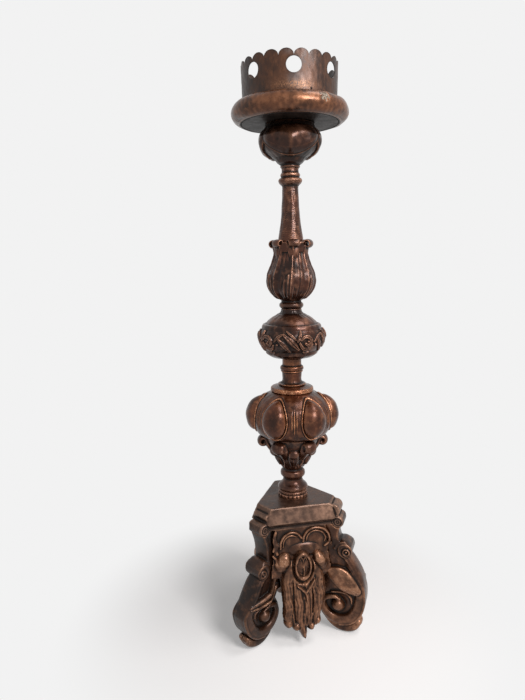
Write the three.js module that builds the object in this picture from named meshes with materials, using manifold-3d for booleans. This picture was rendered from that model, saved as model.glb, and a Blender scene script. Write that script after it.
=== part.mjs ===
// Torchere candle stand: a carved and turned baluster stem on a three-legged scroll base,
// with a drip pan, an iron pricket and a pierced, scalloped sheet-metal gallery.
// Millimetres, +Z up, standing on Z = 0. The origin is the middle of the footprint box.
// Azimuth 0 is the direction -Y, where the front panel faces, and grows towards +X.
import * as THREE from "three";
import { mergeVertices } from "three/addons/utils/BufferGeometryUtils.js";
import Module from "manifold-3d";

const wasm = await Module();
wasm.setup();

// ---------------------------------------------------------------- driving dimensions

const seatGap = 0.3; // air left between two pieces that seat on each other
const pegGap = 0.4; // all-round clearance of a turned tenon in its socket

// Heights of the pieces stacked on the stem axis, from the floor up.
const baseHeight = 254;
const footRingHeight = 14;
const balusterHeight = 104;
const bulbHeight = 80;
const spoolHeight = 59;
const ballHeight = 89;
const vaseHeight = 112;
const shaftHeight = 124;
const calyxHeight = 71;
const panHeight = 34;
const crownHeight = 59;

// Radii where one turned piece seats on the next.
const footRingTopRadius = 25;
const balusterTopRadius = 57;
const bulbTopRadius = 37;
const spoolTopRadius = 16.8;
const ballTopRadius = 17.8;
const vaseMouthRadius = 22;
const shaftTopRadius = 14.2;
const calyxTopRadius = 41;

// Greatest and least radii of each turned piece.
const footRingRadius = 27;
const balusterFootRadius = 27.4;
const balusterWaistRadius = 17.5;
const balusterRingRadius = 22.6;
const balusterBudRadius = 26;
const bulbBodyRadius = 71;
const collarRadius = 38.2;
const collarThickness = 8.5;
const spoolWaistRadius = 16.9;
const spoolRingRadius = 20.8;
const ballRadius = 61.3;
const ballFootRadius = 17;
const vaseKnopRadius = 21.3;
const vaseBellyRadius = 41;
const vaseNeckRadius = 28;
const shaftWaistRadius = 13.5;
const shaftKnopRadius = 20;
const calyxFootRadius = 15;
const calyxRadius = 54;

// Turned tenons that join the stem.
const pegRadius = 8;
const pegLength = 20;
const pegEndPlay = 1.5;
const footPegRadius = 12;
const footPegLength = 70;
const panPegLength = 16;

// Carving that changes the outline of the turned pieces.
const bossCount = 6;
const bossAzimuth = 18;
const bossHalfWidth = 24;
const bossHalfHeight = 30;
const bossDepth = 17;
const bossReach = 82.5;
const bossLean = 18;
const bossHeight = 48;
const curlCount = 6;
const curlRadius = 6.5;
const curlWidth = 17;
const upperCurlReach = 60;
const lowerCurlReach = 39;
const vaseLeafCount = 8;
const vaseLeafDepth = 2.6;
const vaseLeafTwist = 14;
const vaseTipFlare = 4;
const calyxLobeCount = 3;
const calyxLobeDepth = 3.6;
const calyxLobeAzimuth = -13;
const wreathCount = 5;
const wreathAzimuth = -12;
const wreathDepth = 3.6;
const wreathHalfWidth = 6;

// Drip pan, gallery and pricket.
const panRadius = 98.7;
const panRimRadius = 15.5;
const panGrooveRadius = 81;
const panGrooveDepth = 1.2;
const panTopRadius = 82;
const galleryBoardHeight = 6;
const crownTopRadius = 79;
const crownFootRadius = 77.8;
const crownWall = 1.2;
const scallopCount = 21;
const scallopDepth = 9.5;
const holeCount = 7;
const holeRadius = 12;
const holeHeight = 36;
const holeAzimuth = -9.8;
const tackCount = 3;
const tackAzimuth = 10.4;
const tackHeight = 3.2;
const tackHeadRadius = 1.7;
const tackShankRadius = 0.6;
const tackLength = 6;
const pricketRadius = 4.2;
const pricketHeight = 36;
const pricketShankLength = 14;
const pricketFlangeRadius = 11;
const pricketFlangeThickness = 2.4;

// Base cap: a triangle with its corners cut off, and a roll under each corner.
const capHeight = 40;
const capTopInradius = 52;
const capTopCorner = 73.3;
const capEdgeInradius = 61;
const capEdgeCorner = 83.3;
const capNeckInradius = 54;
const capNeckCorner = 76;
const fasciaHeight = 26;
const capRollRadius = 11;
const capRollReach = 86.5;
const capRollRise = 4.5;
const capRollWidth = 36;
const capUnderside = baseHeight - capHeight;

// Core block, panels, legs and feet.
const coreInradius = 34;
const coreCorner = 46;
const coreUnderside = 96;
const panelUnderside = 64;
const panelTopReach = 50;
const panelFootReach = 62;
const legWidth = 38;
const legReach = 139;
const shoulderRadius = 13;
const shoulderReach = 100;
const shoulderFall = 49;
const footEyeReach = 87.6;
const footEyeHeight = 54.8;
const footEyeRadius = 12.5;
const footVoluteRadius = 36;
const footPocketRadius = 19.5;
const footPocketDepth = 9;
const eyeProud = 2.5;
const wingTipReach = 66;
const wingEndReach = 131;
const wingFootHeight = 82;
const wingTopHeight = 133;
const wingProud = 6;
const padWidth = 26;
const padHeight = 27;
const padHeel = 92;
const padToe = 116;
const dropFall = 42;
const dropTipHeight = 17;
const dropHalfWidth = 39;
const dropThickness = 10;
const dropFoldCount = 6;
const dropFoldDepth = 5.5;
const archRadius = 22.5;
const archBead = 4;
const archProud = 3;
const archFall = 29;
const podHalfWidth = 9;
const podHalfHeight = 15;
const podDepth = 10;
const podLean = 18;
const ovalHalfWidth = 15;
const ovalHalfHeight = 27;
const ovalDepth = 14;
const shoulderHeight = capUnderside - shoulderFall;
const dropTopHeight = capUnderside - dropFall;
const archHeight = capUnderside - archFall;

// Facets: how many sides stand in for a circle of each size.
const wideSides = 30;
const middleSides = 24;
const slimSides = 18;
const smallSides = 10;
const holeSides = 12;
const wreathSidesPerRepeat = 14;

// ---------------------------------------------------------------- finishes

function finish(color, roughness, metalness) {
  return new THREE.MeshStandardMaterial({ color, roughness, metalness });
}

const bronzedWood = finish(0x5a3826, 0.42, 0.25);
const darkWood = finish(0x33241d, 0.5, 0.1);
const bareWood = finish(0x8a6a4a, 0.8, 0);
const crownMetal = finish(0x5c3d28, 0.4, 0.7);
const iron = finish(0x2b2826, 0.55, 0.8);

// ---------------------------------------------------------------- geometry helpers

const radians = THREE.MathUtils.degToRad;

// A closed geometry as a solid that can be cut and joined.
function solidOf(geometry) {
  const bare = geometry.clone();
  bare.deleteAttribute("normal");
  bare.deleteAttribute("uv");
  const merged = mergeVertices(bare, 1e-4);
  return new wasm.Manifold(
    new wasm.Mesh({
      numProp: 3,
      vertProperties: new Float32Array(merged.attributes.position.array),
      triVerts: new Uint32Array(merged.index.array),
    }),
  );
}

function geometryOf(solid) {
  const mesh = solid.getMesh();
  const geometry = new THREE.BufferGeometry();
  geometry.setAttribute("position", new THREE.BufferAttribute(mesh.vertProperties, 3));
  geometry.setIndex(new THREE.BufferAttribute(mesh.triVerts, 1));
  geometry.computeVertexNormals();
  return geometry;
}

function joined(solids) {
  return solids.reduce((whole, piece) => whole.add(piece));
}

// Revolves [radius, height] points about Z. Azimuth 0 of the result is -Y.
function revolve(points, sides) {
  const outline = points.map(([radius, height]) => new THREE.Vector2(radius, height));
  return new THREE.LatheGeometry(outline, sides).rotateX(Math.PI / 2);
}

// Moves every vertex off the axis to the radius that radiusAt(azimuth, height, radius) gives.
function carve(geometry, radiusAt) {
  const place = geometry.attributes.position;
  for (let i = 0; i < place.count; i += 1) {
    const x = place.getX(i);
    const y = place.getY(i);
    const radius = Math.hypot(x, y);
    if (radius > 1e-6) {
      const scale = radiusAt(Math.atan2(x, -y), place.getZ(i), radius) / radius;
      place.setX(i, x * scale);
      place.setY(i, y * scale);
    }
  }
  return geometry;
}

// A shape drawn in (radius, height) and made width thick, standing in the plane of azimuth 0.
function radialSlab(points, width) {
  const shape = new THREE.Shape(points.map(([radius, height]) => new THREE.Vector2(radius, height)));
  const slab = new THREE.ExtrudeGeometry(shape, { depth: width, bevelEnabled: false, curveSegments: 1 });
  return slab
    .translate(0, 0, -width / 2)
    .rotateX(Math.PI / 2)
    .rotateZ(-Math.PI / 2);
}

// A shape drawn in (across, height) and made depth thick, from reach outwards at azimuth 0.
function facingSlab(points, reach, depth) {
  const shape = new THREE.Shape(points.map(([across, height]) => new THREE.Vector2(across, height)));
  const slab = new THREE.ExtrudeGeometry(shape, { depth, bevelEnabled: false, curveSegments: 1 });
  return slab.rotateX(Math.PI / 2).translate(0, -reach, 0);
}

// A round bar lying across the plane of azimuth 0.
function crossBar(reach, height, radius, width, sides) {
  return new THREE.CylinderGeometry(radius, radius, width, sides)
    .rotateZ(Math.PI / 2)
    .translate(0, -reach, height);
}

function turnTo(geometry, azimuth) {
  return geometry.rotateZ(radians(azimuth));
}

// Points along a smooth curve through the given ones.
function smooth(points, steps) {
  const curve = new THREE.SplineCurve(points.map(([a, b]) => new THREE.Vector2(a, b)));
  return curve.getPoints(steps).map((point) => [point.x, point.y]);
}

// The outline moved outwards by distance. Its points run anticlockwise.
function grown(points, distance) {
  return points.map(([x, y], i) => {
    const before = points[(i + points.length - 1) % points.length];
    const after = points[(i + 1) % points.length];
    const along = new THREE.Vector2(after[0] - before[0], after[1] - before[1]).normalize();
    return [x + along.y * distance, y - along.x * distance];
  });
}

function mix(low, high, share) {
  return low + (high - low) * share;
}

// ---------------------------------------------------------------- stem joints

const stemPeg = { radius: pegRadius, length: pegLength };
const footPeg = { radius: footPegRadius, length: footPegLength };

function pegUnder(peg) {
  return [[0, -peg.length], [peg.radius, -peg.length], [peg.radius, seatGap]];
}

function socketAbove(peg, height) {
  const bore = peg.radius + pegGap;
  const floor = height - peg.length - pegEndPlay;
  return [[bore, height], [bore, floor], [0, floor]];
}

// Rows are [share of the height, radius], from the seat up.
function rowsAt(rows, height) {
  return rows.map(([share, radius]) => [radius, mix(seatGap, height, share)]);
}

// ---------------------------------------------------------------- stem pieces

function footRing() {
  const bore = footPegRadius + pegGap;
  const outline = rowsAt(
    [
      [0, bore],
      [0, 0.97 * footRingRadius],
      [0.18, footRingRadius],
      [0.42, 0.99 * footRingRadius],
      [0.55, 0.9 * footRingRadius],
      [0.7, 0.97 * footRingRadius],
      [0.85, 0.98 * footRingRadius],
      [1, footRingTopRadius],
      [1, bore],
      [0, bore],
    ],
    footRingHeight,
  );
  return revolve(outline, middleSides);
}

function curl(azimuth, reach, height) {
  return solidOf(turnTo(crossBar(reach - curlRadius, height, curlRadius, curlWidth, smallSides), azimuth));
}

function lowerBaluster() {
  const rows = [
    [0, 0.97 * balusterFootRadius],
    [0.04, balusterFootRadius],
    [0.09, 0.93 * balusterFootRadius],
    [0.13, 1.16 * balusterWaistRadius],
    [0.18, balusterWaistRadius],
    [0.23, balusterWaistRadius],
    [0.27, 0.92 * balusterRingRadius],
    [0.31, balusterRingRadius],
    [0.35, 0.92 * balusterRingRadius],
    [0.39, 1.04 * balusterWaistRadius],
    [0.44, 1.12 * balusterWaistRadius],
    [0.5, 0.93 * balusterBudRadius],
    [0.56, balusterBudRadius],
    [0.65, 1.03 * balusterBudRadius],
    [0.73, 0.55 * balusterTopRadius],
    [0.81, 0.64 * balusterTopRadius],
    [0.9, 0.82 * balusterTopRadius],
    [0.96, 0.95 * balusterTopRadius],
    [1, balusterTopRadius],
  ];
  const outline = [
    ...pegUnder(footPeg),
    ...rowsAt(rows, balusterHeight),
    ...socketAbove(stemPeg, balusterHeight),
  ];
  const pieces = [solidOf(revolve(outline, slimSides))];
  const upperCurl = balusterHeight - 1.6 * curlRadius;
  const lowerCurl = balusterHeight - 4.2 * curlRadius;
  for (let i = 0; i < curlCount; i += 1) {
    const azimuth = bossAzimuth + (360 * i) / curlCount;
    pieces.push(curl(azimuth, upperCurlReach, upperCurl));
    pieces.push(curl(azimuth + 180 / curlCount, lowerCurlReach, lowerCurl));
  }
  return geometryOf(joined(pieces));
}

// A bulb with oval bosses round its belly, each leaning in at the top.
function gadroonedBulb() {
  const rows = [
    [0, 0.98 * balusterTopRadius],
    [0.1, 0.93 * bulbBodyRadius],
    [0.25, 0.985 * bulbBodyRadius],
    [0.45, bulbBodyRadius],
    [0.62, 0.96 * bulbBodyRadius],
    [0.76, 0.86 * bulbBodyRadius],
    [0.88, 0.71 * bulbBodyRadius],
    [1, bulbTopRadius],
  ];
  const outline = [...pegUnder(stemPeg), ...rowsAt(rows, bulbHeight), ...socketAbove(stemPeg, bulbHeight)];
  const lean = radians(bossLean);
  const outwards = Math.hypot(bossDepth * Math.cos(lean), bossHalfHeight * Math.sin(lean));
  const pieces = [solidOf(revolve(outline, middleSides))];
  for (let i = 0; i < bossCount; i += 1) {
    const boss = new THREE.SphereGeometry(1, smallSides, 8)
      .rotateX(Math.PI / 2)
      .scale(bossHalfWidth, bossDepth, bossHalfHeight)
      .rotateX(-lean)
      .translate(0, outwards - bossReach, bossHeight);
    pieces.push(solidOf(turnTo(boss, bossAzimuth + (360 * i) / bossCount)));
  }
  return geometryOf(joined(pieces));
}

function neckSpool() {
  const collar = collarThickness / spoolHeight;
  const rows = [
    [0, 0.97 * collarRadius],
    [0.2 * collar, collarRadius],
    [0.85 * collar, collarRadius],
    [collar, 0.95 * collarRadius],
    [1.35 * collar, 0.62 * collarRadius],
    [1.5 * collar, 0.64 * collarRadius],
    [1.75 * collar, 1.18 * spoolWaistRadius],
    [0.34, spoolWaistRadius],
    [0.52, 1.05 * spoolWaistRadius],
    [0.61, 1.1 * spoolWaistRadius],
    [0.65, 0.92 * spoolRingRadius],
    [0.69, spoolRingRadius],
    [0.74, spoolRingRadius],
    [0.78, 0.92 * spoolRingRadius],
    [0.82, 1.02 * spoolWaistRadius],
    [1, spoolTopRadius],
  ];
  const outline = [...pegUnder(stemPeg), ...rowsAt(rows, spoolHeight), ...socketAbove(stemPeg, spoolHeight)];
  return revolve(outline, slimSides);
}

// Distance from a point to a line through corners, all of them [across, up].
function distanceTo(corners, across, up) {
  let nearest = Infinity;
  for (let i = 0; i + 1 < corners.length; i += 1) {
    const [x, y] = corners[i];
    const [dx, dy] = [corners[i + 1][0] - x, corners[i + 1][1] - y];
    const share = ((across - x) * dx + (up - y) * dy) / (dx * dx + dy * dy);
    const along = Math.min(1, Math.max(0, share));
    nearest = Math.min(nearest, Math.hypot(across - x - along * dx, up - y - along * dy));
  }
  return nearest;
}

// A flattened ball with a stepped shoulder. Its belly is sunk between the leaves of a wreath.
function carvedBall() {
  const bandFoot = 0.13;
  const bandTop = 0.68;
  const rows = [
    [0, ballFootRadius],
    [0.02, 0.42 * ballRadius],
    [0.05, 0.58 * ballRadius],
    [0.1, 0.71 * ballRadius],
    [0.16, 0.8 * ballRadius],
    [0.215, 0.865 * ballRadius],
    [0.27, 0.91 * ballRadius],
    [0.325, 0.95 * ballRadius],
    [0.38, 0.98 * ballRadius],
    [0.435, 0.995 * ballRadius],
    [0.49, ballRadius],
    [0.545, 0.985 * ballRadius],
    [0.6, 0.945 * ballRadius],
    [0.64, 0.9 * ballRadius],
    [bandTop, 0.84 * ballRadius],
    [0.73, 0.76 * ballRadius],
    [0.75, 0.7 * ballRadius],
    [0.82, 0.57 * ballRadius],
    [0.88, 0.43 * ballRadius],
    [0.9, 0.37 * ballRadius],
    [0.95, 1.03 * ballTopRadius],
    [1, ballTopRadius],
  ];
  // Midribs of the leaves in one repeat: shares of the repeat's length and of the ball's height.
  const midribs = [
    [[-0.22, 0.56], [-0.12, 0.47], [0.13, 0.26]],
    [[-0.36, 0.47], [-0.26, 0.36], [-0.08, 0.19]],
    [[0.19, 0.45], [0.3, 0.51], [0.43, 0.45], [0.39, 0.34]],
    [[0.16, 0.38], [0.28, 0.26], [0.48, 0.33]],
  ];
  const repeat = (2 * Math.PI * ballRadius) / wreathCount;
  const ribs = midribs.map((rib) => rib.map(([along, up]) => [along * repeat, up * ballHeight]));
  const leafed = (azimuth, height, radius) => {
    const share = height / ballHeight;
    if (share < bandFoot || share > bandTop) return radius;
    const turns = ((azimuth - radians(wreathAzimuth)) * wreathCount) / (2 * Math.PI);
    const across = (turns - Math.round(turns)) * repeat;
    const off = Math.min(...ribs.map((rib) => distanceTo(rib, across, height)));
    const proud = Math.sqrt(Math.max(0, 1 - (off / wreathHalfWidth) ** 2));
    return radius - wreathDepth * (1 - proud);
  };
  const outline = [...pegUnder(stemPeg), ...rowsAt(rows, ballHeight), ...socketAbove(stemPeg, ballHeight)];
  return carve(revolve(outline, wreathSidesPerRepeat * wreathCount), leafed);
}

// A tulip of upright leaves over a plain knop. The leaves flare at their tips and twist a little.
function leafVase() {
  const knopTop = 0.13;
  const rows = [
    [0, 1.02 * ballTopRadius],
    [0.03, 0.96 * vaseKnopRadius],
    [0.055, vaseKnopRadius],
    [0.08, 0.96 * vaseKnopRadius],
    [0.105, 0.83 * vaseKnopRadius],
    [knopTop, 0.85 * vaseKnopRadius],
    [0.2, 0.63 * vaseBellyRadius],
    [0.28, 0.85 * vaseBellyRadius],
    [0.37, 0.97 * vaseBellyRadius],
    [0.46, vaseBellyRadius],
    [0.56, 0.95 * vaseBellyRadius],
    [0.67, 0.81 * vaseBellyRadius],
    [0.79, 1.04 * vaseNeckRadius],
    [0.87, vaseNeckRadius],
    [0.94, 1.08 * vaseNeckRadius],
    [1, 1.18 * vaseNeckRadius],
  ];
  const outline = [...pegUnder(stemPeg), ...rowsAt(rows, vaseHeight), ...socketAbove(stemPeg, vaseHeight)];
  const leafed = (azimuth, height, radius) => {
    const share = height / vaseHeight;
    if (share <= knopTop || radius < 0.8 * vaseKnopRadius) return radius;
    const turned = azimuth - radians(vaseLeafTwist) * share;
    const wave = Math.cos(vaseLeafCount * turned);
    const flare = share > 0.9 ? vaseTipFlare * Math.max(0, wave) : 0;
    return radius - vaseLeafDepth * (0.5 - 0.5 * wave) + flare;
  };
  return carve(revolve(outline, 4 * vaseLeafCount), leafed);
}

function upperShaft() {
  const rows = [
    [0, vaseMouthRadius],
    [0.12, 0.93 * vaseMouthRadius],
    [0.23, 0.83 * vaseMouthRadius],
    [0.33, 1.23 * shaftWaistRadius],
    [0.45, 1.14 * shaftWaistRadius],
    [0.6, 1.06 * shaftWaistRadius],
    [0.75, shaftWaistRadius],
    [0.775, 1.05 * shaftWaistRadius],
    [0.805, 0.86 * shaftKnopRadius],
    [0.835, shaftKnopRadius],
    [0.85, shaftKnopRadius],
    [0.875, 0.85 * shaftKnopRadius],
    [0.9, 1.04 * shaftTopRadius],
    [0.925, 1.12 * shaftTopRadius],
    [0.95, shaftTopRadius],
    [1, shaftTopRadius],
  ];
  const outline = [...pegUnder(stemPeg), ...rowsAt(rows, shaftHeight), ...socketAbove(stemPeg, shaftHeight)];
  return revolve(outline, slimSides);
}

// A cup of broad lobes under the pan. Its upper tenon goes up into the pan.
function calyx() {
  const rows = [
    [0, calyxFootRadius],
    [0.06, 1.12 * calyxFootRadius],
    [0.13, 0.43 * calyxRadius],
    [0.23, 0.67 * calyxRadius],
    [0.34, 0.86 * calyxRadius],
    [0.46, 0.96 * calyxRadius],
    [0.59, calyxRadius],
    [0.71, 0.98 * calyxRadius],
    [0.81, 0.89 * calyxRadius],
    [0.9, 1.04 * calyxTopRadius],
    [1, calyxTopRadius],
  ];
  const outline = [
    ...pegUnder(stemPeg),
    ...rowsAt(rows, calyxHeight),
    [pegRadius, calyxHeight],
    [pegRadius, calyxHeight + panPegLength],
    [0, calyxHeight + panPegLength],
  ];
  const lobed = (azimuth, height, radius) => {
    if (height < 0.1 * calyxHeight || height > 0.88 * calyxHeight || radius < 1.5 * pegRadius) return radius;
    return radius + calyxLobeDepth * Math.cos(calyxLobeCount * (azimuth - radians(calyxLobeAzimuth)));
  };
  return carve(revolve(outline, middleSides), lobed);
}

// ---------------------------------------------------------------- pan, gallery and pricket

// A turned board with a round rim. A low round board on top is what the gallery is tacked to.
function dripPan() {
  const rimCentre = panRadius - panRimRadius;
  const boardRadius = crownFootRadius - crownWall - seatGap;
  const boardTop = panHeight + galleryBoardHeight;
  const bore = pegRadius + pegGap;
  const pricketBore = pricketRadius + seatGap;
  const recess = pricketFlangeRadius + seatGap;
  const recessFloor = boardTop - pricketFlangeThickness;
  const outline = [
    [0, panPegLength + pegEndPlay],
    [bore, panPegLength + pegEndPlay],
    [bore, seatGap],
    [panGrooveRadius - panGrooveDepth, seatGap],
    [panGrooveRadius, seatGap + panGrooveDepth],
  ];
  const steps = 7;
  for (let i = 0; i <= steps; i += 1) {
    const angle = (Math.PI * i) / steps - Math.PI / 2;
    const height = seatGap + panRimRadius * (1 + Math.sin(angle));
    outline.push([rimCentre + panRimRadius * Math.cos(angle), height]);
  }
  outline.push(
    [panTopRadius, panHeight],
    [boardRadius, panHeight],
    [boardRadius, boardTop],
    [recess, boardTop],
    [recess, recessFloor],
    [pricketBore, recessFloor],
    [pricketBore, recessFloor - pricketShankLength - pegEndPlay],
    [0, recessFloor - pricketShankLength - pegEndPlay],
  );
  let pan = solidOf(revolve(outline, wideSides));
  for (let i = 0; i < tackCount; i += 1) {
    pan = pan.subtract(solidOf(tackHole(i).translate(0, 0, panHeight)));
  }
  return geometryOf(pan);
}

// Height of the gallery's edge: a half round for each scallop, with a notch between two.
function scallopEdge(azimuth) {
  const pitch = (2 * Math.PI) / scallopCount;
  const along = (azimuth - radians(holeAzimuth)) / pitch;
  const across = 2 * (along - Math.floor(along)) - 1;
  return crownHeight - scallopDepth * (1 - Math.sqrt(Math.max(0, 1 - across * across)));
}

function crownGallery() {
  const stepsPerScallop = 4;
  const count = scallopCount * stepsPerScallop;
  const place = [];
  for (let i = 0; i < count; i += 1) {
    const azimuth = radians(holeAzimuth) + (2 * Math.PI * i) / count;
    const edge = scallopEdge(azimuth);
    const topRadius = mix(crownFootRadius, crownTopRadius, edge / crownHeight);
    const corners = [
      [crownFootRadius, seatGap],
      [topRadius, edge],
      [topRadius - crownWall, edge],
      [crownFootRadius - crownWall, seatGap],
    ];
    corners.forEach(([radius, height]) => {
      place.push(radius * Math.sin(azimuth), -radius * Math.cos(azimuth), height);
    });
  }
  const index = [];
  for (let i = 0; i < count; i += 1) {
    for (let side = 0; side < 4; side += 1) {
      const a = 4 * i + side;
      const b = 4 * i + ((side + 1) % 4);
      const c = 4 * ((i + 1) % count) + ((side + 1) % 4);
      const d = 4 * ((i + 1) % count) + side;
      index.push(a, d, b, b, d, c);
    }
  }
  const wall = new THREE.BufferGeometry();
  wall.setAttribute("position", new THREE.Float32BufferAttribute(place, 3));
  wall.setIndex(index);
  let gallery = solidOf(wall);
  for (let i = 0; i < holeCount; i += 1) {
    const punch = new THREE.CylinderGeometry(holeRadius, holeRadius, crownTopRadius, holeSides)
      .translate(0, -crownTopRadius, holeHeight);
    gallery = gallery.subtract(solidOf(turnTo(punch, holeAzimuth + (360 * i) / holeCount)));
  }
  for (let i = 0; i < tackCount; i += 1) {
    gallery = gallery.subtract(solidOf(tackHole(i)));
  }
  return geometryOf(gallery);
}

function tackHole(i) {
  const bore = tackShankRadius + seatGap;
  const hole = new THREE.CylinderGeometry(bore, bore, 4 * tackLength, smallSides)
    .translate(0, -crownFootRadius, tackHeight);
  return turnTo(hole, tackAzimuth + (360 * i) / tackCount);
}

function tack() {
  const outline = [
    [0, -tackLength],
    [tackShankRadius, tackShankRadius - tackLength],
    [tackShankRadius, 0],
    [tackHeadRadius, 0],
    [0.8 * tackHeadRadius, 0.45 * tackHeadRadius],
    [0, 0.7 * tackHeadRadius],
  ];
  return revolve(outline, smallSides)
    .rotateX(Math.PI / 2)
    .translate(0, -crownFootRadius - seatGap, tackHeight);
}

// A tapered iron spike on a round flange that is let into the board.
function pricket() {
  const outline = [
    [0, -pricketShankLength],
    [pricketRadius, -pricketShankLength],
    [pricketRadius, seatGap],
    [pricketFlangeRadius, seatGap],
    [pricketFlangeRadius, 0.7 * pricketFlangeThickness],
    [0.85 * pricketFlangeRadius, pricketFlangeThickness],
    [pricketRadius, 1.4 * pricketFlangeThickness],
    [0.55 * pricketRadius, 0.6 * pricketHeight],
    [0, pricketHeight],
  ];
  return revolve(outline, smallSides);
}

// ---------------------------------------------------------------- base

// The six corners of a triangle with its corners cut off square to the legs.
function cutTriangle(inradius, cornerReach) {
  const halfEdge = (2 * cornerReach - inradius) / Math.sqrt(3);
  const corners = [];
  for (let face = 0; face < 3; face += 1) {
    const azimuth = radians(120 * face);
    const out = [Math.sin(azimuth), -Math.cos(azimuth)];
    const along = [Math.cos(azimuth), Math.sin(azimuth)];
    [-halfEdge, halfEdge].forEach((reach) => {
      corners.push([out[0] * inradius + along[0] * reach, out[1] * inradius + along[1] * reach]);
    });
  }
  return corners;
}

// A closed body through flat rings of corners, from the lowest up: [height, corners].
function loft(rings) {
  const count = rings[0][1].length;
  const place = rings.flatMap(([height, corners]) => corners.flatMap(([x, y]) => [x, y, height]));
  const index = [];
  for (let level = 0; level + 1 < rings.length; level += 1) {
    for (let i = 0; i < count; i += 1) {
      const next = (i + 1) % count;
      const low = level * count;
      index.push(low + i, low + next, low + count + next);
      index.push(low + i, low + count + next, low + count + i);
    }
  }
  const top = (rings.length - 1) * count;
  for (let i = 1; i + 1 < count; i += 1) {
    index.push(0, i + 1, i);
    index.push(top, top + i, top + i + 1);
  }
  const body = new THREE.BufferGeometry();
  body.setAttribute("position", new THREE.Float32BufferAttribute(place, 3));
  body.setIndex(index);
  return body;
}

function capRoll(azimuth, clearance) {
  const width = capRollWidth + 2 * clearance;
  const height = capUnderside + capRollRise;
  const roll = crossBar(capRollReach, height, capRollRadius + clearance, width, 2 * smallSides);
  return solidOf(turnTo(roll, azimuth));
}

function baseCap() {
  const edgeHeight = baseHeight - fasciaHeight;
  const neckHeight = mix(capUnderside, edgeHeight, 0.45);
  const plate = loft([
    [capUnderside, cutTriangle(capNeckInradius, capNeckCorner)],
    [neckHeight, cutTriangle(capNeckInradius, capNeckCorner)],
    [mix(neckHeight, edgeHeight, 0.7), cutTriangle(0.97 * capEdgeInradius, 0.97 * capEdgeCorner)],
    [edgeHeight, cutTriangle(capEdgeInradius, capEdgeCorner)],
    [baseHeight, cutTriangle(capTopInradius, capTopCorner)],
  ]);
  const bore = footPegRadius + pegGap;
  const hole = new THREE.CylinderGeometry(bore, bore, 2 * baseHeight, slimSides).rotateX(Math.PI / 2);
  const pieces = [solidOf(plate)];
  legAzimuths.forEach((azimuth) => pieces.push(capRoll(azimuth, 0)));
  return geometryOf(joined(pieces).subtract(solidOf(hole)));
}

function baseCore() {
  const top = capUnderside - seatGap;
  const block = loft([
    [coreUnderside, cutTriangle(coreInradius, coreCorner)],
    [top, cutTriangle(coreInradius, coreCorner)],
  ]);
  const bore = footPegRadius + pegGap;
  const depth = footPegLength - footRingHeight - capHeight + pegEndPlay;
  const hole = new THREE.CylinderGeometry(bore, bore, 2 * depth, slimSides)
    .rotateX(Math.PI / 2)
    .translate(0, 0, top);
  return geometryOf(solidOf(block).subtract(solidOf(hole)));
}

// Side view of a leg as [radius, height], anticlockwise from the inner side of the foot scroll.
function legOutline() {
  const out = legReach - footEyeReach;
  const foot = (across, up) => [
    footEyeReach + across * footVoluteRadius,
    footEyeHeight + up * footVoluteRadius,
  ];
  const strap = (across, share) => [footEyeReach + across * out, mix(footEyeHeight, shoulderHeight, share)];
  const top = capUnderside - seatGap;
  const neck = (reach, share) => [shoulderReach + reach * shoulderRadius, mix(shoulderHeight, top, share)];
  const inner = coreCorner + seatGap;
  const outer = smooth(
    [
      foot(-0.71, 0.64),
      foot(-0.94, 0.3),
      foot(-1, -0.13),
      foot(-0.85, -0.6),
      foot(-0.49, -0.94),
      foot(0, -1.04),
      foot(0.57, -0.97),
      strap(0.73, -0.21),
      strap(0.92, -0.06),
      strap(1, 0.13),
      strap(0.93, 0.35),
      strap(0.72, 0.54),
      strap(0.44, 0.75),
      strap(0.24, 0.88),
      neck(-0.5, 0.25),
      neck(-0.95, 0.6),
      neck(-0.7, 0.85),
      neck(-0.6, 1),
    ],
    27,
  );
  return [...outer, [inner, top], [inner, coreUnderside + footVoluteRadius / 4], foot(-0.9, 1.05)];
}

// The leaf that springs from the foot scroll and lies on the side of the leg, anticlockwise.
function wingOutline() {
  const at = (across, up) => [
    mix(wingTipReach, wingEndReach, across),
    mix(wingFootHeight, wingTopHeight, up),
  ];
  return smooth(
    [
      at(0, 0.9),
      at(0.06, 0.62),
      at(0.23, 0.35),
      at(0.43, 0.13),
      at(0.68, 0.03),
      at(0.88, 0),
      at(1, 0.18),
      at(0.9, 0.4),
      at(0.74, 0.7),
      at(0.54, 0.92),
      at(0.28, 1),
      at(0, 0.9),
    ],
    16,
  ).slice(0, -1);
}

// A scroll console. With a clearance, the space that its neighbours have to leave for it.
function legSolid(azimuth, clearance) {
  const bar = (reach, height, radius, width) => {
    return solidOf(crossBar(reach, height, radius + clearance, width + 2 * clearance, 2 * smallSides));
  };
  const slab = (points, width) => {
    return solidOf(radialSlab(grown(points, clearance), width + 2 * clearance));
  };
  const footEye = bar(footEyeReach, footEyeHeight, footEyeRadius, legWidth + 2 * eyeProud);
  const shoulder = bar(shoulderReach, shoulderHeight, shoulderRadius, legWidth + eyeProud);
  const shoulderEyeReach = shoulderReach + 0.25 * shoulderRadius;
  const shoulderEyeRadius = 0.42 * shoulderRadius;
  const shoulderEye = bar(shoulderEyeReach, shoulderHeight, shoulderEyeRadius, legWidth + 3 * eyeProud);
  const wing = slab(wingOutline(), legWidth + 2 * wingProud);
  let leg = slab(legOutline(), legWidth);
  if (clearance === 0) leg = leg.subtract(footPockets());
  leg = joined([leg, footEye, shoulder, shoulderEye, wing]);
  leg = leg.rotate([0, 0, azimuth]);
  return clearance === 0 ? leg.subtract(capRoll(azimuth, seatGap)) : leg;
}

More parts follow.
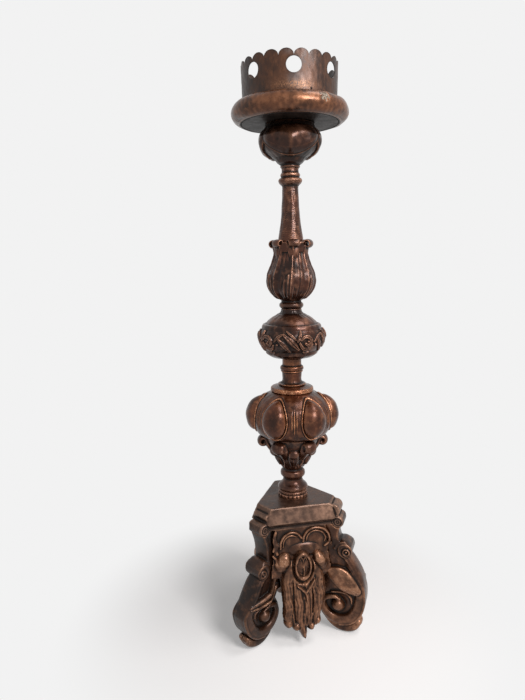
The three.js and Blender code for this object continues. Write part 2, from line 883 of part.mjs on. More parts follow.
// A round pocket in each side of the foot scroll. It touches the eye on the outer side.
function footPockets() {
  const reach = footEyeReach - (footPocketRadius - footEyeRadius);
  const across = (legWidth + footPocketDepth) / 2;
  return joined(
    [-across, across].map((side) => {
      const pocket = crossBar(reach, footEyeHeight, footPocketRadius, 2 * footPocketDepth, 2 * smallSides);
      return solidOf(pocket.translate(side, 0, 0));
    }),
  );
}

function footPad(azimuth) {
  const outline = [
    [padHeel, 0],
    [padToe, 0],
    [padToe + 0.3 * padHeight, 0.3 * padHeight],
    [padToe + 0.42 * padHeight, padHeight],
    [padHeel - 0.7 * padHeight, padHeight],
    [padHeel - 0.7 * padHeight, 0.5 * padHeight],
    [padHeel - 0.35 * padHeight, 0.18 * padHeight],
  ];
  const pad = solidOf(turnTo(radialSlab(outline, padWidth), azimuth));
  return geometryOf(pad.subtract(legSolid(azimuth, seatGap)));
}

// How far the face of a panel stands out from the stem axis at a height.
function panelFace(height) {
  const share = (capUnderside - height) / (capUnderside - panelUnderside);
  return mix(panelTopReach, panelFootReach, Math.max(0, share) ** 1.6);
}

// The room between two legs, as a block that the panel and its leaf are cut to.
function bayBetweenLegs() {
  const side = legWidth / 2 + 1.5 * seatGap;
  const near = (2 * side) / Math.sqrt(3);
  const far = 3 * legReach;
  const room = new THREE.Shape([
    new THREE.Vector2(0, -near),
    new THREE.Vector2(-far * Math.sin(radians(60)), -near - far / 2),
    new THREE.Vector2(far * Math.sin(radians(60)), -near - far / 2),
  ]);
  return solidOf(new THREE.ExtrudeGeometry(room, { depth: baseHeight, bevelEnabled: false }));
}

function clearOfLegs(solid) {
  return solid
    .intersect(bayBetweenLegs())
    .subtract(legSolid(60, seatGap))
    .subtract(legSolid(-60, seatGap));
}

// An arched bead on the panel. Two of them share the foot in the middle.
function archBeadSolid(across) {
  const steps = 12;
  const points = [];
  for (let i = 0; i <= steps; i += 1) {
    const angle = (Math.PI * i) / steps;
    points.push([across + archRadius * Math.cos(angle), archHeight + archRadius * Math.sin(angle)]);
  }
  for (let i = steps; i >= 0; i -= 1) {
    const angle = (Math.PI * i) / steps;
    const radius = archRadius - archBead;
    points.push([across + radius * Math.cos(angle), archHeight + radius * Math.sin(angle)]);
  }
  const face = panelFace(archHeight);
  return solidOf(facingSlab(points, face - archProud, 2 * archProud));
}

function panelSolid(clearance) {
  const back = coreInradius + seatGap;
  const top = capUnderside - seatGap;
  const steps = 8;
  const outline = [[back, panelUnderside]];
  for (let i = 0; i <= steps; i += 1) {
    const height = mix(panelUnderside - clearance, top, i / steps);
    outline.push([panelFace(height) + clearance, height]);
  }
  outline.push([back, top]);
  return solidOf(radialSlab(outline, 4 * legReach));
}

function panel() {
  const half = archRadius - archBead / 2;
  const arches = [-half, half].map((across) => archBeadSolid(across));
  return geometryOf(clearOfLegs(joined([panelSolid(0), ...arches])));
}

// An oval boss on the face of the panel, leaning by tilt degrees.
function oval(across, height, halfWidth, halfHeight, depth, tilt) {
  const boss = new THREE.SphereGeometry(1, smallSides, 6)
    .rotateX(Math.PI / 2)
    .scale(halfWidth, depth, halfHeight)
    .rotateY(radians(tilt))
    .translate(across, -panelFace(height) - 0.4 * depth, height);
  return solidOf(boss).subtract(panelSolid(seatGap));
}

// A hanging leaf with upright folds, closed at the back by the shape of the panel.
function hangingLeaf() {
  const columns = 4 * dropFoldCount;
  const rows = 7;
  const width = new THREE.SplineCurve(
    [0.66, 0.92, 1, 1, 0.97, 0.9, 0.8, 0.72, 0.6].map((share, i) => new THREE.Vector2(i, share)),
  );
  const front = [];
  const back = [];
  for (let row = 0; row <= rows; row += 1) {
    for (let column = 0; column <= columns; column += 1) {
      const across = (2 * column) / columns - 1;
      const fold = 0.5 - 0.5 * Math.cos(Math.PI * dropFoldCount * across);
      const top = dropTopHeight - 0.5 * dropHalfWidth * across ** 2;
      const foot = dropTipHeight + 0.55 * dropHalfWidth * across ** 2 + dropFoldDepth * (1 - fold);
      const height = mix(top, foot, row / rows);
      const x = across * dropHalfWidth * width.getPoint(row / rows).y;
      const rear = panelFace(height) + seatGap;
      const crown = dropThickness * (1 - 0.6 * across ** 2) * Math.min(1, 0.45 + (2 * row) / rows);
      front.push([x, -rear - crown - dropFoldDepth * fold * Math.min(1, (2 * row) / rows), height]);
      back.push([x, -rear, height]);
    }
  }
  const count = front.length;
  const wide = columns + 1;
  const index = [];
  const quad = (a, b, c, d) => index.push(a, b, c, a, c, d);
  for (let row = 0; row < rows; row += 1) {
    for (let column = 0; column < columns; column += 1) {
      const i = row * wide + column;
      quad(i, i + wide, i + wide + 1, i + 1);
      quad(count + i, count + i + 1, count + i + wide + 1, count + i + wide);
    }
    const left = row * wide;
    const right = left + columns;
    quad(left, count + left, count + left + wide, left + wide);
    quad(right, right + wide, count + right + wide, count + right);
  }
  for (let column = 0; column < columns; column += 1) {
    const low = rows * wide + column;
    quad(column, column + 1, count + column + 1, count + column);
    quad(low, count + low, count + low + 1, low + 1);
  }
  const leaf = new THREE.BufferGeometry();
  leaf.setAttribute("position", new THREE.Float32BufferAttribute([...front, ...back].flat(), 3));
  leaf.setIndex(index);
  return solidOf(leaf);
}

function leafDrop() {
  const podHeight = mix(dropTipHeight, dropTopHeight, 0.86);
  const ovalHeight = mix(dropTipHeight, dropTopHeight, 0.81);
  const pieces = [
    hangingLeaf(),
    oval(-0.88 * dropHalfWidth, podHeight, podHalfWidth, podHalfHeight, podDepth, podLean),
    oval(0.88 * dropHalfWidth, podHeight, podHalfWidth, podHalfHeight, podDepth, -podLean),
    oval(0, ovalHeight, ovalHalfWidth, ovalHalfHeight, ovalDepth, 0),
  ];
  return geometryOf(clearOfLegs(joined(pieces)));
}

// ---------------------------------------------------------------- assembly

const legAzimuths = [60, 180, -60];
const legNames = ["right", "rear", "left"];
const faceAzimuths = [0, 120, -120];
const faceNames = ["front", "right", "left"];

// The rear leg reaches further back than the pan does to the front.
const stand = new THREE.Group();
stand.position.y = (panRadius - legReach) / 2;

function place(name, geometry, material, height = 0, azimuth = 0) {
  const mesh = new THREE.Mesh(geometry, material);
  mesh.name = name;
  mesh.position.z = height;
  mesh.rotation.z = radians(azimuth);
  stand.add(mesh);
}

let seat = baseHeight;
[
  ["stem_foot_ring", footRing(), footRingHeight],
  ["lower_baluster", lowerBaluster(), balusterHeight],
  ["gadrooned_bulb", gadroonedBulb(), bulbHeight],
  ["neck_spool", neckSpool(), spoolHeight],
  ["carved_ball", carvedBall(), ballHeight],
  ["leaf_vase", leafVase(), vaseHeight],
  ["upper_shaft", upperShaft(), shaftHeight],
  ["calyx", calyx(), calyxHeight],
  ["drip_pan", dripPan(), panHeight],
].forEach(([name, geometry, height]) => {
  place(name, geometry, bronzedWood, seat);
  seat += height;
});

place("crown_gallery", crownGallery(), crownMetal, seat);
for (let i = 0; i < tackCount; i += 1) {
  place(`crown_tack_${i + 1}`, tack(), iron, seat, tackAzimuth + (360 * i) / tackCount);
}
place("pricket_spike", pricket(), iron, seat + galleryBoardHeight - pricketFlangeThickness);

place("base_cap", baseCap(), darkWood);
place("base_core", baseCore(), bareWood);
faceNames.forEach((name, i) => {
  place(`panel_${name}`, panel(), bronzedWood, 0, faceAzimuths[i]);
  place(`leaf_drop_${name}`, leafDrop(), bronzedWood, 0, faceAzimuths[i]);
});
legNames.forEach((name, i) => {
  place(`leg_${name}`, geometryOf(legSolid(legAzimuths[i], 0)), bronzedWood);
  place(`foot_pad_${name}`, footPad(legAzimuths[i]), bronzedWood);
});

export default stand;
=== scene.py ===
import math

import bpy
import numpy as np
from mathutils import Matrix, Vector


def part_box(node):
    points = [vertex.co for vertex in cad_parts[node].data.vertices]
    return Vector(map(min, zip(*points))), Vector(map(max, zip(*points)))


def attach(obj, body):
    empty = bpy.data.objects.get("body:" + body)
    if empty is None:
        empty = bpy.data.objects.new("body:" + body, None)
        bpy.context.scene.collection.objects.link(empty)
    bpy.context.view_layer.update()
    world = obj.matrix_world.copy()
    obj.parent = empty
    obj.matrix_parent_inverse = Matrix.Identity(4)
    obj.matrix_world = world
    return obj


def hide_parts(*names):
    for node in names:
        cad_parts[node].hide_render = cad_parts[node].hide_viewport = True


# Torchere candle stand: the carved, painted surfaces over its solids.
# Sizes are millimetres and degrees. Azimuth 0 faces -Y, where the front panel is, and grows towards +X.

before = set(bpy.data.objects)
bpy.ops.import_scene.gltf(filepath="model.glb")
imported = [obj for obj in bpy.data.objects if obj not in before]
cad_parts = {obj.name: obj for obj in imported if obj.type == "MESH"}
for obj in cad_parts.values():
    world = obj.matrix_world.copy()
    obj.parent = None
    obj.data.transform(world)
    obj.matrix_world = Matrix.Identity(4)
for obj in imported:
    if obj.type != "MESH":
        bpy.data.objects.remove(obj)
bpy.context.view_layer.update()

MM = 0.001


# ---------------------------------------------------------------- places taken from the frame

def low(node):
    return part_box(node)[0] / MM


def high(node):
    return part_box(node)[1] / MM


AXIS_X = (low("neck_spool").x + high("neck_spool").x) / 2
AXIS_Y = (low("neck_spool").y + high("neck_spool").y) / 2
SEAT_GAP = 0.3
CAP_TOP = high("base_cap").z
RING_TOP = high("stem_foot_ring").z
BALUSTER_TOP = high("lower_baluster").z
BULB_TOP = high("gadrooned_bulb").z
SPOOL_TOP = high("neck_spool").z
BALL_TOP = high("carved_ball").z
VASE_HEIGHT = 112
VASE_TOP = BALL_TOP + VASE_HEIGHT
SHAFT_TOP = high("upper_shaft").z
CALYX_HEIGHT = 71
CALYX_TOP = SHAFT_TOP + CALYX_HEIGHT
PAN_RIM_HEIGHT = 34
PAN_TOP = CALYX_TOP + PAN_RIM_HEIGHT
CROWN_TOP = high("crown_gallery").z

LEG_AZIMUTHS = {"right": 60, "rear": 180, "left": -60}
FACE_AZIMUTHS = {"front": 0, "right": 120, "left": -120}


# ---------------------------------------------------------------- curves and numbers

def mix(a, b, share):
    return a + (b - a) * share


def eased(x, low_end, high_end):
    t = np.clip((x - low_end) / (high_end - low_end), 0, 1)
    return t * t * (3 - 2 * t)


def bell(x, width):
    """1 where x is 0, falling off smoothly to about a third at width."""
    return np.exp(-((x / width) ** 2))


def arch(x):
    """A half circle: 1 in the middle, 0 at 1 and beyond."""
    return np.sqrt(np.clip(1 - x**2, 0, 1))


def curve(points, per_span=12):
    """Points along a smooth curve through the given ones."""
    p = np.asarray(points, float)
    ends = np.vstack([2 * p[0] - p[1], p, 2 * p[-1] - p[-2]])
    t = np.linspace(0, 1, per_span, endpoint=False)[:, None]
    spans = []
    for i in range(1, len(ends) - 2):
        a, b, c, d = ends[i - 1], ends[i], ends[i + 1], ends[i + 2]
        cubic = (2 * b) + (c - a) * t + (2 * a - 5 * b + 4 * c - d) * t**2
        spans.append(0.5 * (cubic + (3 * b - a - 3 * c + d) * t**3))
    return np.vstack(spans + [p[-1:]])


def spaced(path, step):
    """The path again, with points about step apart and its ends kept."""
    lengths = np.r_[0, np.cumsum(np.linalg.norm(np.diff(path, axis=0), axis=1))]
    count = max(2, int(round(lengths[-1] / step)) + 1)
    at = np.linspace(0, lengths[-1], count)
    return np.stack([np.interp(at, lengths, path[:, k]) for k in range(path.shape[1])], axis=1)


def profile(*runs, step=0.7):
    """Smooth runs of (radius, height). Each goes on from the one before it, with a sharp corner there."""
    rows = [np.array(runs[0][:1], float)]
    start = []
    for run in runs:
        points = start + run
        rows.append(spaced(curve(points) if len(points) > 2 else np.array(points, float), step)[1:])
        start = run[-1:]
    return np.vstack(rows)


# ---------------------------------------------------------------- carving drawn in a plane

def nearest(u, v, path):
    """How far each (u, v) is from a path, and the share of the path's length where that is."""
    path = np.asarray(path, float)
    spans = np.linalg.norm(np.diff(path, axis=0), axis=1)
    starts = np.r_[0, np.cumsum(spans)]
    best = np.full(np.shape(u), 1e9)
    share = np.zeros(np.shape(u))
    for i, span in enumerate(spans):
        du, dv = (path[i + 1] - path[i]) / span
        t = np.clip((u - path[i, 0]) * du + (v - path[i, 1]) * dv, 0, span)
        far = np.hypot(u - path[i, 0] - t * du, v - path[i, 1] - t * dv)
        closer = far < best
        best = np.where(closer, far, best)
        share = np.where(closer, (starts[i] + t) / starts[-1], share)
    return best, share


def along(values, share):
    values = np.atleast_1d(values)
    return np.interp(share, np.linspace(0, 1, len(values)), values)


def ridge(u, v, path, half_width, height):
    """A round ridge over a path. half_width and height may be lists that change along it."""
    far, share = nearest(u, v, path)
    return along(height, share) * arch(far / along(half_width, share))


def dome(u, v, centre, half_u, half_v, height, lean=0, power=0.5):
    a = math.radians(lean)
    du, dv = u - centre[0], v - centre[1]
    x = (du * math.cos(a) + dv * math.sin(a)) / half_u
    y = (dv * math.cos(a) - du * math.sin(a)) / half_v
    return height * np.clip(1 - x * x - y * y, 0, 1) ** power


def inside(u, v, outline):
    """Distance in from a closed outline; negative outside."""
    outline = np.asarray(outline, float)
    ring = np.vstack([outline, outline[:1]])
    far, _ = nearest(u, v, ring)
    crossings = np.zeros(np.shape(u), int)
    for (x0, y0), (x1, y1) in zip(ring[:-1], ring[1:]):
        if y0 != y1:
            crosses = ((y0 > v) != (y1 > v)) & (u < (x1 - x0) * (v - y0) / (y1 - y0) + x0)
            crossings += crosses
    return np.where(crossings % 2 == 1, far, -far)


def rounded(distance, radius):
    """0 at the edge, rising like a quarter circle to 1 at radius and further in."""
    t = 1 - np.clip(distance / radius, 0, 1)
    return np.sqrt(np.clip(1 - t * t, 0, 1))


def waves(u, v, seed, size):
    """Slow, seeded unevenness between about -1 and 1, as of hand work."""
    rng = np.random.default_rng(seed)
    total = np.zeros(np.broadcast(u, v).shape)
    for _ in range(9):
        a = rng.uniform(0, 2 * math.pi)
        k = rng.uniform(0.6, 1.6) * 2 * math.pi / size
        total += np.sin(k * (u * math.cos(a) + v * math.sin(a)) + rng.uniform(0, 2 * math.pi))
    return total / 4


# ---------------------------------------------------------------- meshes

def new_object(name, points, *face_arrays):
    mesh = bpy.data.meshes.new(name)
    points = np.asarray(points, np.float32).reshape(-1, 3) * MM
    corners = [np.asarray(faces, np.int32) for faces in face_arrays if len(faces)]
    totals = np.concatenate([np.full(len(faces), faces.shape[1]) for faces in corners])
    indices = np.concatenate([faces.ravel() for faces in corners])
    mesh.vertices.add(len(points))
    mesh.vertices.foreach_set("co", points.ravel())
    mesh.loops.add(len(indices))
    mesh.loops.foreach_set("vertex_index", indices)
    mesh.polygons.add(len(totals))
    mesh.polygons.foreach_set("loop_start", np.r_[0, np.cumsum(totals)[:-1]].astype(np.int32))
    mesh.polygons.foreach_set("use_smooth", np.ones(len(totals), bool))
    mesh.update(calc_edges=True)
    made = bpy.data.objects.new(name, mesh)
    bpy.context.scene.collection.objects.link(made)
    return made


def coordinates(mesh):
    co = np.empty(len(mesh.vertices) * 3, np.float32)
    mesh.vertices.foreach_get("co", co)
    return co.reshape(-1, 3).astype(float)


def wrapped_quads(rows, columns):
    i, j = np.meshgrid(np.arange(rows - 1), np.arange(columns), indexing="ij")
    k = (j + 1) % columns
    near, beyond = i * columns, (i + 1) * columns
    return np.stack([near + j, near + k, beyond + k, beyond + j], -1).reshape(-1, 4)


class Turning:
    """A turned piece as rows of one profile, carved by moving each point along its row's normal."""

    def __init__(self, rows, seat=0.0, step=0.9):
        self.rows = rows
        self.columns = max(24, int(2 * math.pi * rows[:, 0].max() / step))
        slope = np.gradient(rows, axis=0)
        slope /= np.maximum(np.linalg.norm(slope, axis=1, keepdims=True), 1e-9)
        self.out = np.stack([slope[:, 1], -slope[:, 0]], axis=1)
        self.azimuth = np.broadcast_to(
            np.linspace(-math.pi, math.pi, self.columns, endpoint=False)[None, :], (len(rows), self.columns)
        )
        self.radius = np.broadcast_to(rows[:, :1], self.azimuth.shape)
        self.height = np.broadcast_to(rows[:, 1:], self.azimuth.shape)
        self.seat = seat
        self.lift = np.zeros(self.azimuth.shape)
        self.marks = {}

    def turned_to(self, azimuth):
        """Signed angle from an azimuth in degrees, in radians."""
        return (self.azimuth - math.radians(azimuth) + math.pi) % (2 * math.pi) - math.pi

    def points(self):
        r = self.radius + self.lift * self.out[:, :1]
        z = self.seat + self.height + self.lift * self.out[:, 1:]
        return np.stack([r * np.sin(self.azimuth), -r * np.cos(self.azimuth), z], -1)

    def made(self, name):
        rows = len(self.rows)
        points = self.points().reshape(-1, 3)
        quads = wrapped_quads(rows, self.columns)
        first = np.arange(self.columns)[::-1][None, :]
        last = (rows - 1) * self.columns + np.arange(self.columns)[None, :]
        made = new_object(name, points, quads, first, last)
        for mark, values in self.marks.items():
            mark_points(made, mark, np.broadcast_to(values, self.azimuth.shape).ravel())
        return made


def turn(points, azimuth):
    a = math.radians(azimuth)
    x, y, z = np.moveaxis(np.asarray(points, float), -1, 0)
    return np.stack([x * math.cos(a) - y * math.sin(a), x * math.sin(a) + y * math.cos(a), z], -1)


def tube(path, half_width, half_height=None, name="tube", sides=14, up=(0, 0, 1)):
    """A closed tube along a path. half_width lies across `up`, half_height along it; both may be lists."""
    path = np.asarray(path, float)
    share = np.linspace(0, 1, len(path))
    wide = along(half_width, share)
    tall = wide if half_height is None else along(half_height, share)
    ahead = np.gradient(path, axis=0)
    ahead /= np.linalg.norm(ahead, axis=1, keepdims=True)
    side = np.cross(ahead, np.asarray(up, float))
    side /= np.maximum(np.linalg.norm(side, axis=1, keepdims=True), 1e-9)
    rise = np.cross(side, ahead)
    a = np.linspace(0, 2 * math.pi, sides, endpoint=False)
    ring = (
        path[:, None, :]
        + np.cos(a)[None, :, None] * wide[:, None, None] * side[:, None, :]
        + np.sin(a)[None, :, None] * tall[:, None, None] * rise[:, None, :]
    )
    first = np.arange(sides)[None, :]
    last = (len(path) - 1) * sides + np.arange(sides)[::-1][None, :]
    return new_object(name, ring, wrapped_quads(len(path), sides)[:, ::-1], first, last)


def outward(obj):
    bpy.context.view_layer.objects.active = obj
    for other in bpy.context.selected_objects:
        other.select_set(False)
    obj.select_set(True)
    bpy.ops.object.mode_set(mode="EDIT")
    bpy.ops.mesh.select_all(action="SELECT")
    bpy.ops.mesh.normals_make_consistent(inside=False)
    bpy.ops.object.mode_set(mode="OBJECT")
    return obj


def joined(parts):
    bpy.ops.object.select_all(action="DESELECT")
    for part in parts:
        part.select_set(True)
    bpy.context.view_layer.objects.active = parts[0]
    bpy.ops.object.join()
    return bpy.context.view_layer.objects.active


def applied(obj):
    """The object with its modifiers applied."""
    graph = bpy.context.evaluated_depsgraph_get()
    mesh = bpy.data.meshes.new_from_object(obj.evaluated_get(graph))
    old = obj.data
    obj.modifiers.clear()
    obj.data = mesh
    bpy.data.meshes.remove(old)
    return obj


def fused(name, parts, voxel=0.9, smooth_steps=2):
    """Overlapping closed parts as one carved skin."""
    whole = joined([outward(part) for part in parts])
    whole.name = name
    remesh = whole.modifiers.new("skin", "REMESH")
    remesh.mode = "VOXEL"
    remesh.voxel_size = voxel * MM
    remesh.adaptivity = 0
    applied(whole)
    whole.data.polygons.foreach_set("use_smooth", np.ones(len(whole.data.polygons), bool))
    relax(whole, smooth_steps)
    return whole


def edges_of(mesh):
    edges = np.empty(len(mesh.edges) * 2, np.int32)
    mesh.edges.foreach_get("vertices", edges)
    return edges.reshape(-1, 2)


def averaged(values, edges, count):
    """Each vertex's value drawn to the mean of its neighbours."""
    both = np.concatenate([edges, edges[:, ::-1]])
    share = np.bincount(both[:, 0], minlength=count)
    sums = [np.bincount(both[:, 0], values[both[:, 1], k], minlength=count) for k in range(values.shape[1])]
    return np.stack(sums, 1) / np.maximum(share, 1)[:, None]


def relax(obj, steps):
    """Smooths without shrinking."""
    mesh = obj.data
    edges = edges_of(mesh)
    points = coordinates(mesh)
    for _ in range(steps):
        for factor in (0.6, -0.62):
            points = points + factor * (averaged(points, edges, len(points)) - points)
    mesh.vertices.foreach_set("co", points.astype(np.float32).ravel())
    mesh.update()


def mark_points(obj, name, values):
    attribute = obj.data.attributes.get(name) or obj.data.attributes.new(name, "FLOAT", "POINT")
    attribute.data.foreach_set("value", np.asarray(values, np.float32).ravel())


def normals_of(mesh):
    normals = np.empty(len(mesh.vertices) * 3, np.float32)
    mesh.vertices.foreach_get("normal", normals)
    return normals.reshape(-1, 3)


def mark_hollows(obj, fine_steps=3, broad_steps=36, fine_floor=0.02, broad_floor=0.35):
    """Marks hollows above 0 and crests below 0, at a fine and at a broad scale."""
    mesh = obj.data
    edges, points, normals = edges_of(mesh), coordinates(mesh), normals_of(mesh)
    moved = points
    for step in range(broad_steps):
        moved = moved + 0.7 * (averaged(moved, edges, len(points)) - moved)
        if step + 1 in (fine_steps, broad_steps):
            depth = ((moved - points) * normals).sum(1) / MM
            fine = step + 1 == fine_steps
            floor = fine_floor if fine else broad_floor
            scale = max(np.percentile(np.abs(depth), 92), floor)
            mark_points(obj, "fine_hollow" if fine else "broad_hollow", np.clip(depth / scale, -1.5, 1.5))
    return obj


# ---------------------------------------------------------------- paint

def linear(red, green, blue):
    """A colour written as 0-255 screen values."""
    shares = (red / 255, green / 255, blue / 255)
    return tuple(c / 12.92 if c <= 0.04045 else ((c + 0.055) / 1.055) ** 2.4 for c in shares) + (1.0,)


class Nodes:
    """A small helper to write a node tree."""

    def __init__(self, tree):
        self.tree = tree
        self.tree.nodes.clear()

    def node(self, kind, **values):
        made = self.tree.nodes.new(kind)
        for key, value in values.items():
            setattr(made, key, value)
        return made

    def link(self, source, target):
        self.tree.links.new(source, target)

    def set(self, socket, value):
        if isinstance(value, bpy.types.NodeSocket):
            self.link(value, socket)
        else:
            socket.default_value = value

    def math(self, operation, a, b=0.5, clamp=False):
        made = self.node("ShaderNodeMath", operation=operation, use_clamp=clamp)
        self.set(made.inputs[0], a)
        self.set(made.inputs[1], b)
        return made.outputs[0]

    def mixed(self, share, a, b):
        made = self.node("ShaderNodeMixShader")
        self.link(share, made.inputs[0])
        self.link(a, made.inputs[1])
        self.link(b, made.inputs[2])
        return made.outputs[0]

    def seen(self):
        """1 for camera, glossy and transmission rays, and 0 for the light that falls on things."""
        path = self.node("ShaderNodeLightPath")
        direct = self.math("MAXIMUM", path.outputs["Is Camera Ray"], path.outputs["Is Glossy Ray"])
        return self.math("MAXIMUM", direct, path.outputs["Is Transmission Ray"])


class Paint(Nodes):
    """A material's node tree."""

    def __init__(self, name):
        self.material = bpy.data.materials.new(name)
        self.material.use_nodes = True
        super().__init__(self.material.node_tree)
        self.output = self.node("ShaderNodeOutputMaterial")
        self.shader = self.node("ShaderNodeBsdfPrincipled")
        self.link(self.shader.outputs[0], self.output.inputs["Surface"])
        self.place = self.node("ShaderNodeTexCoord").outputs["Object"]

    def noise(self, size, detail=4.0, roughness=0.55, stretch=(1, 1, 1), distortion=0.0):
        """Noise whose blotches are about size millimetres wide."""
        mapping = self.node("ShaderNodeMapping")
        self.link(self.place, mapping.inputs["Vector"])
        mapping.inputs["Scale"].default_value = stretch
        noise = self.node("ShaderNodeTexNoise")
        self.link(mapping.outputs[0], noise.inputs["Vector"])
        noise.inputs["Scale"].default_value = 1 / (size * MM)
        noise.inputs["Detail"].default_value = detail
        noise.inputs["Roughness"].default_value = roughness
        noise.inputs["Distortion"].default_value = distortion
        return noise.outputs["Fac"]

    def mark(self, name):
        return self.node("ShaderNodeAttribute", attribute_name=name).outputs["Fac"]

    def span(self, value, from_low, from_high, to_low=0.0, to_high=1.0):
        """The value's range stretched to another one, eased at both ends."""
        made = self.node("ShaderNodeMapRange", interpolation_type="SMOOTHSTEP")
        self.set(made.inputs["Value"], value)
        ends = {"From Min": from_low, "From Max": from_high, "To Min": to_low, "To Max": to_high}
        for key, number in ends.items():
            made.inputs[key].default_value = number
        return made.outputs[0]

    def blend(self, share, a, b):
        made = self.node("ShaderNodeMix", data_type="RGBA")
        self.set(made.inputs["Factor"], share)
        self.set(made.inputs["A"], a)
        self.set(made.inputs["B"], b)
        return next(out for out in made.outputs if out.type == "RGBA")

    def bump(self, height, strength, distance, below=None):
        made = self.node("ShaderNodeBump")
        made.inputs["Strength"].default_value = strength
        made.inputs["Distance"].default_value = distance * MM
        self.link(height, made.inputs["Height"])
        if below is not None:
            self.link(below, made.inputs["Normal"])
        return made.outputs["Normal"]


def bronze(name, *colours, gloss, flaking=0.85):
    """Old bronze paint on carved wood: painted shade makes the hollows near black, and the crests go to
    copper and cream, partly as wear on the paint and partly as painted highlight.
    """
    p = Paint(name)
    dark, middle, rubbed_and_highlit, bright = (linear(*colour) for colour in colours)
    fine, broad, wear_and_highlight = p.mark("fine_hollow"), p.mark("broad_hollow"), p.mark("wear_and_highlight")
    cloud = p.noise(45, detail=4)
    grime = p.noise(11, detail=6, roughness=0.6)
    speckle = p.noise(1.8, detail=4, roughness=0.6)
    base = p.blend(p.span(cloud, 0.38, 0.62), dark, middle)
    base = p.blend(p.math("MULTIPLY", p.span(grime, 0.48, 0.72), 0.35), base, rubbed_and_highlit)
    # Crests, found from the shape, lighten towards the rubbed colour and then to cream: partly wear on the
    # paint, partly painted highlight where light catches the ridges.
    crest = p.math("ADD", p.span(fine, -0.25, -1.2), p.span(broad, -0.35, -1.3))
    crest = p.math("MULTIPLY", crest, p.span(grime, 0.3, 0.6, 0.15, 1.0))
    base = p.blend(p.math("MULTIPLY", crest, 0.42, clamp=True), base, rubbed_and_highlit)
    # The wear mark lightens the paint too; on some pieces it also holds painted highlights.
    thinned_and_highlit = p.math("MULTIPLY", wear_and_highlight, p.span(grime, 0.34, 0.6, 0.35, 1.0))
    base = p.blend(p.math("MULTIPLY", thinned_and_highlit, 0.75, clamp=True), base, rubbed_and_highlit)
    # Bright cream flecks: flaking wear on the crests and worn places, together with painted highlight on the
    # crests.
    flecks_and_highlight = p.math("ADD", p.math("MULTIPLY", p.span(crest, 0.7, 1.6), 0.35), p.span(thinned_and_highlit, 0.45, 1.0))
    flecks_and_highlight = p.math("MULTIPLY", flecks_and_highlight, p.span(speckle, 0.5, 0.68, 0.0, flaking), clamp=True)
    base = p.blend(flecks_and_highlight, base, bright)
    # Painted shade: the fine and broad hollows are blended almost to black, as the shade that gathers in
    # them.
    fine_part = p.math("MULTIPLY", p.span(fine, 0.05, 1.0), 0.7)
    hollow = p.math("ADD", fine_part, p.span(broad, 0.0, 0.8), clamp=True)
    base = p.blend(p.math("MULTIPLY", hollow, 0.94), base, linear(16, 6, 2))
    p.link(base, p.shader.inputs["Base Color"])
    even_rough = p.span(grime, 0.3, 0.7, gloss - 0.06, gloss + 0.14)
    rough = p.math("ADD", even_rough, p.math("MULTIPLY", hollow, 0.3))
    p.link(rough, p.shader.inputs["Roughness"])
    p.link(p.math("ADD", p.math("MULTIPLY", thinned_and_highlit, 0.25), 0.45, clamp=True), p.shader.inputs["Metallic"])
    p.shader.inputs["Specular IOR Level"].default_value = 0.3
    p.shader.inputs["Coat Weight"].default_value = 0.16
    p.shader.inputs["Coat Roughness"].default_value = 0.2
    low_bump = p.bump(p.noise(7, detail=4), 0.4, 0.7)
    p.link(p.bump(speckle, 0.22, 0.14, low_bump), p.shader.inputs["Normal"])
    return p


def patinated_metal(name):
    """Sheet metal browned by age: darker near its cut edges, and darker still at its sides, inside and foot
    as painted shade, which leaves it warm in the middle; grey from wear under a hole, and a light patch that
    is wear and painted highlight together.
    """
    p = Paint(name)
    edge_dark_and_shade, wear_and_highlight, smear = p.mark("edge_dark_and_shade"), p.mark("wear_and_highlight"), p.mark("smear")
    cloud = p.noise(30, detail=5, stretch=(1, 1, 0.45))
    grime = p.noise(6, detail=6, roughness=0.7, stretch=(1, 1, 0.5))
    speckle = p.noise(1.8, detail=4, roughness=0.65)
    base = p.blend(p.span(cloud, 0.38, 0.62), linear(46, 25, 14), linear(82, 50, 31))
    base = p.blend(p.math("MULTIPLY", p.span(grime, 0.45, 0.68), 0.45), base, linear(112, 72, 46))
    base = p.blend(p.math("MULTIPLY", smear, p.span(grime, 0.3, 0.6, 0.3, 1.0)), base, linear(92, 82, 80))
    # Light patch from the wear mark: wear on the metal together with painted highlight.
    base = p.blend(p.math("MULTIPLY", wear_and_highlight, p.span(speckle, 0.42, 0.6)), base, linear(170, 122, 88))
    # The dark mark: darker near the cut edges, and painted shade at the sides, inside and foot.
    base = p.blend(p.math("MULTIPLY", edge_dark_and_shade, p.span(grime, 0.2, 0.6, 1.0, 0.7)), base, linear(20, 10, 5))
    p.link(base, p.shader.inputs["Base Color"])
    p.link(p.span(grime, 0.3, 0.7, 0.34, 0.5), p.shader.inputs["Roughness"])
    p.shader.inputs["Metallic"].default_value = 0.3
    dents = p.bump(p.noise(16, detail=2), 0.55, 1.0)
    p.link(p.bump(speckle, 0.25, 0.12, dents), p.shader.inputs["Normal"])
    return p.material


def wrought_iron():
    p = Paint("wrought_iron")
    rust = p.noise(4, detail=6, roughness=0.7)
    base = p.blend(p.span(rust, 0.4, 0.65), linear(38, 34, 32), linear(92, 58, 38))
    p.link(base, p.shader.inputs["Base Color"])
    p.link(p.span(rust, 0.35, 0.65, 0.42, 0.75), p.shader.inputs["Roughness"])
    p.shader.inputs["Metallic"].default_value = 0.7
    p.link(p.bump(rust, 0.5, 0.25), p.shader.inputs["Normal"])
    return p.material


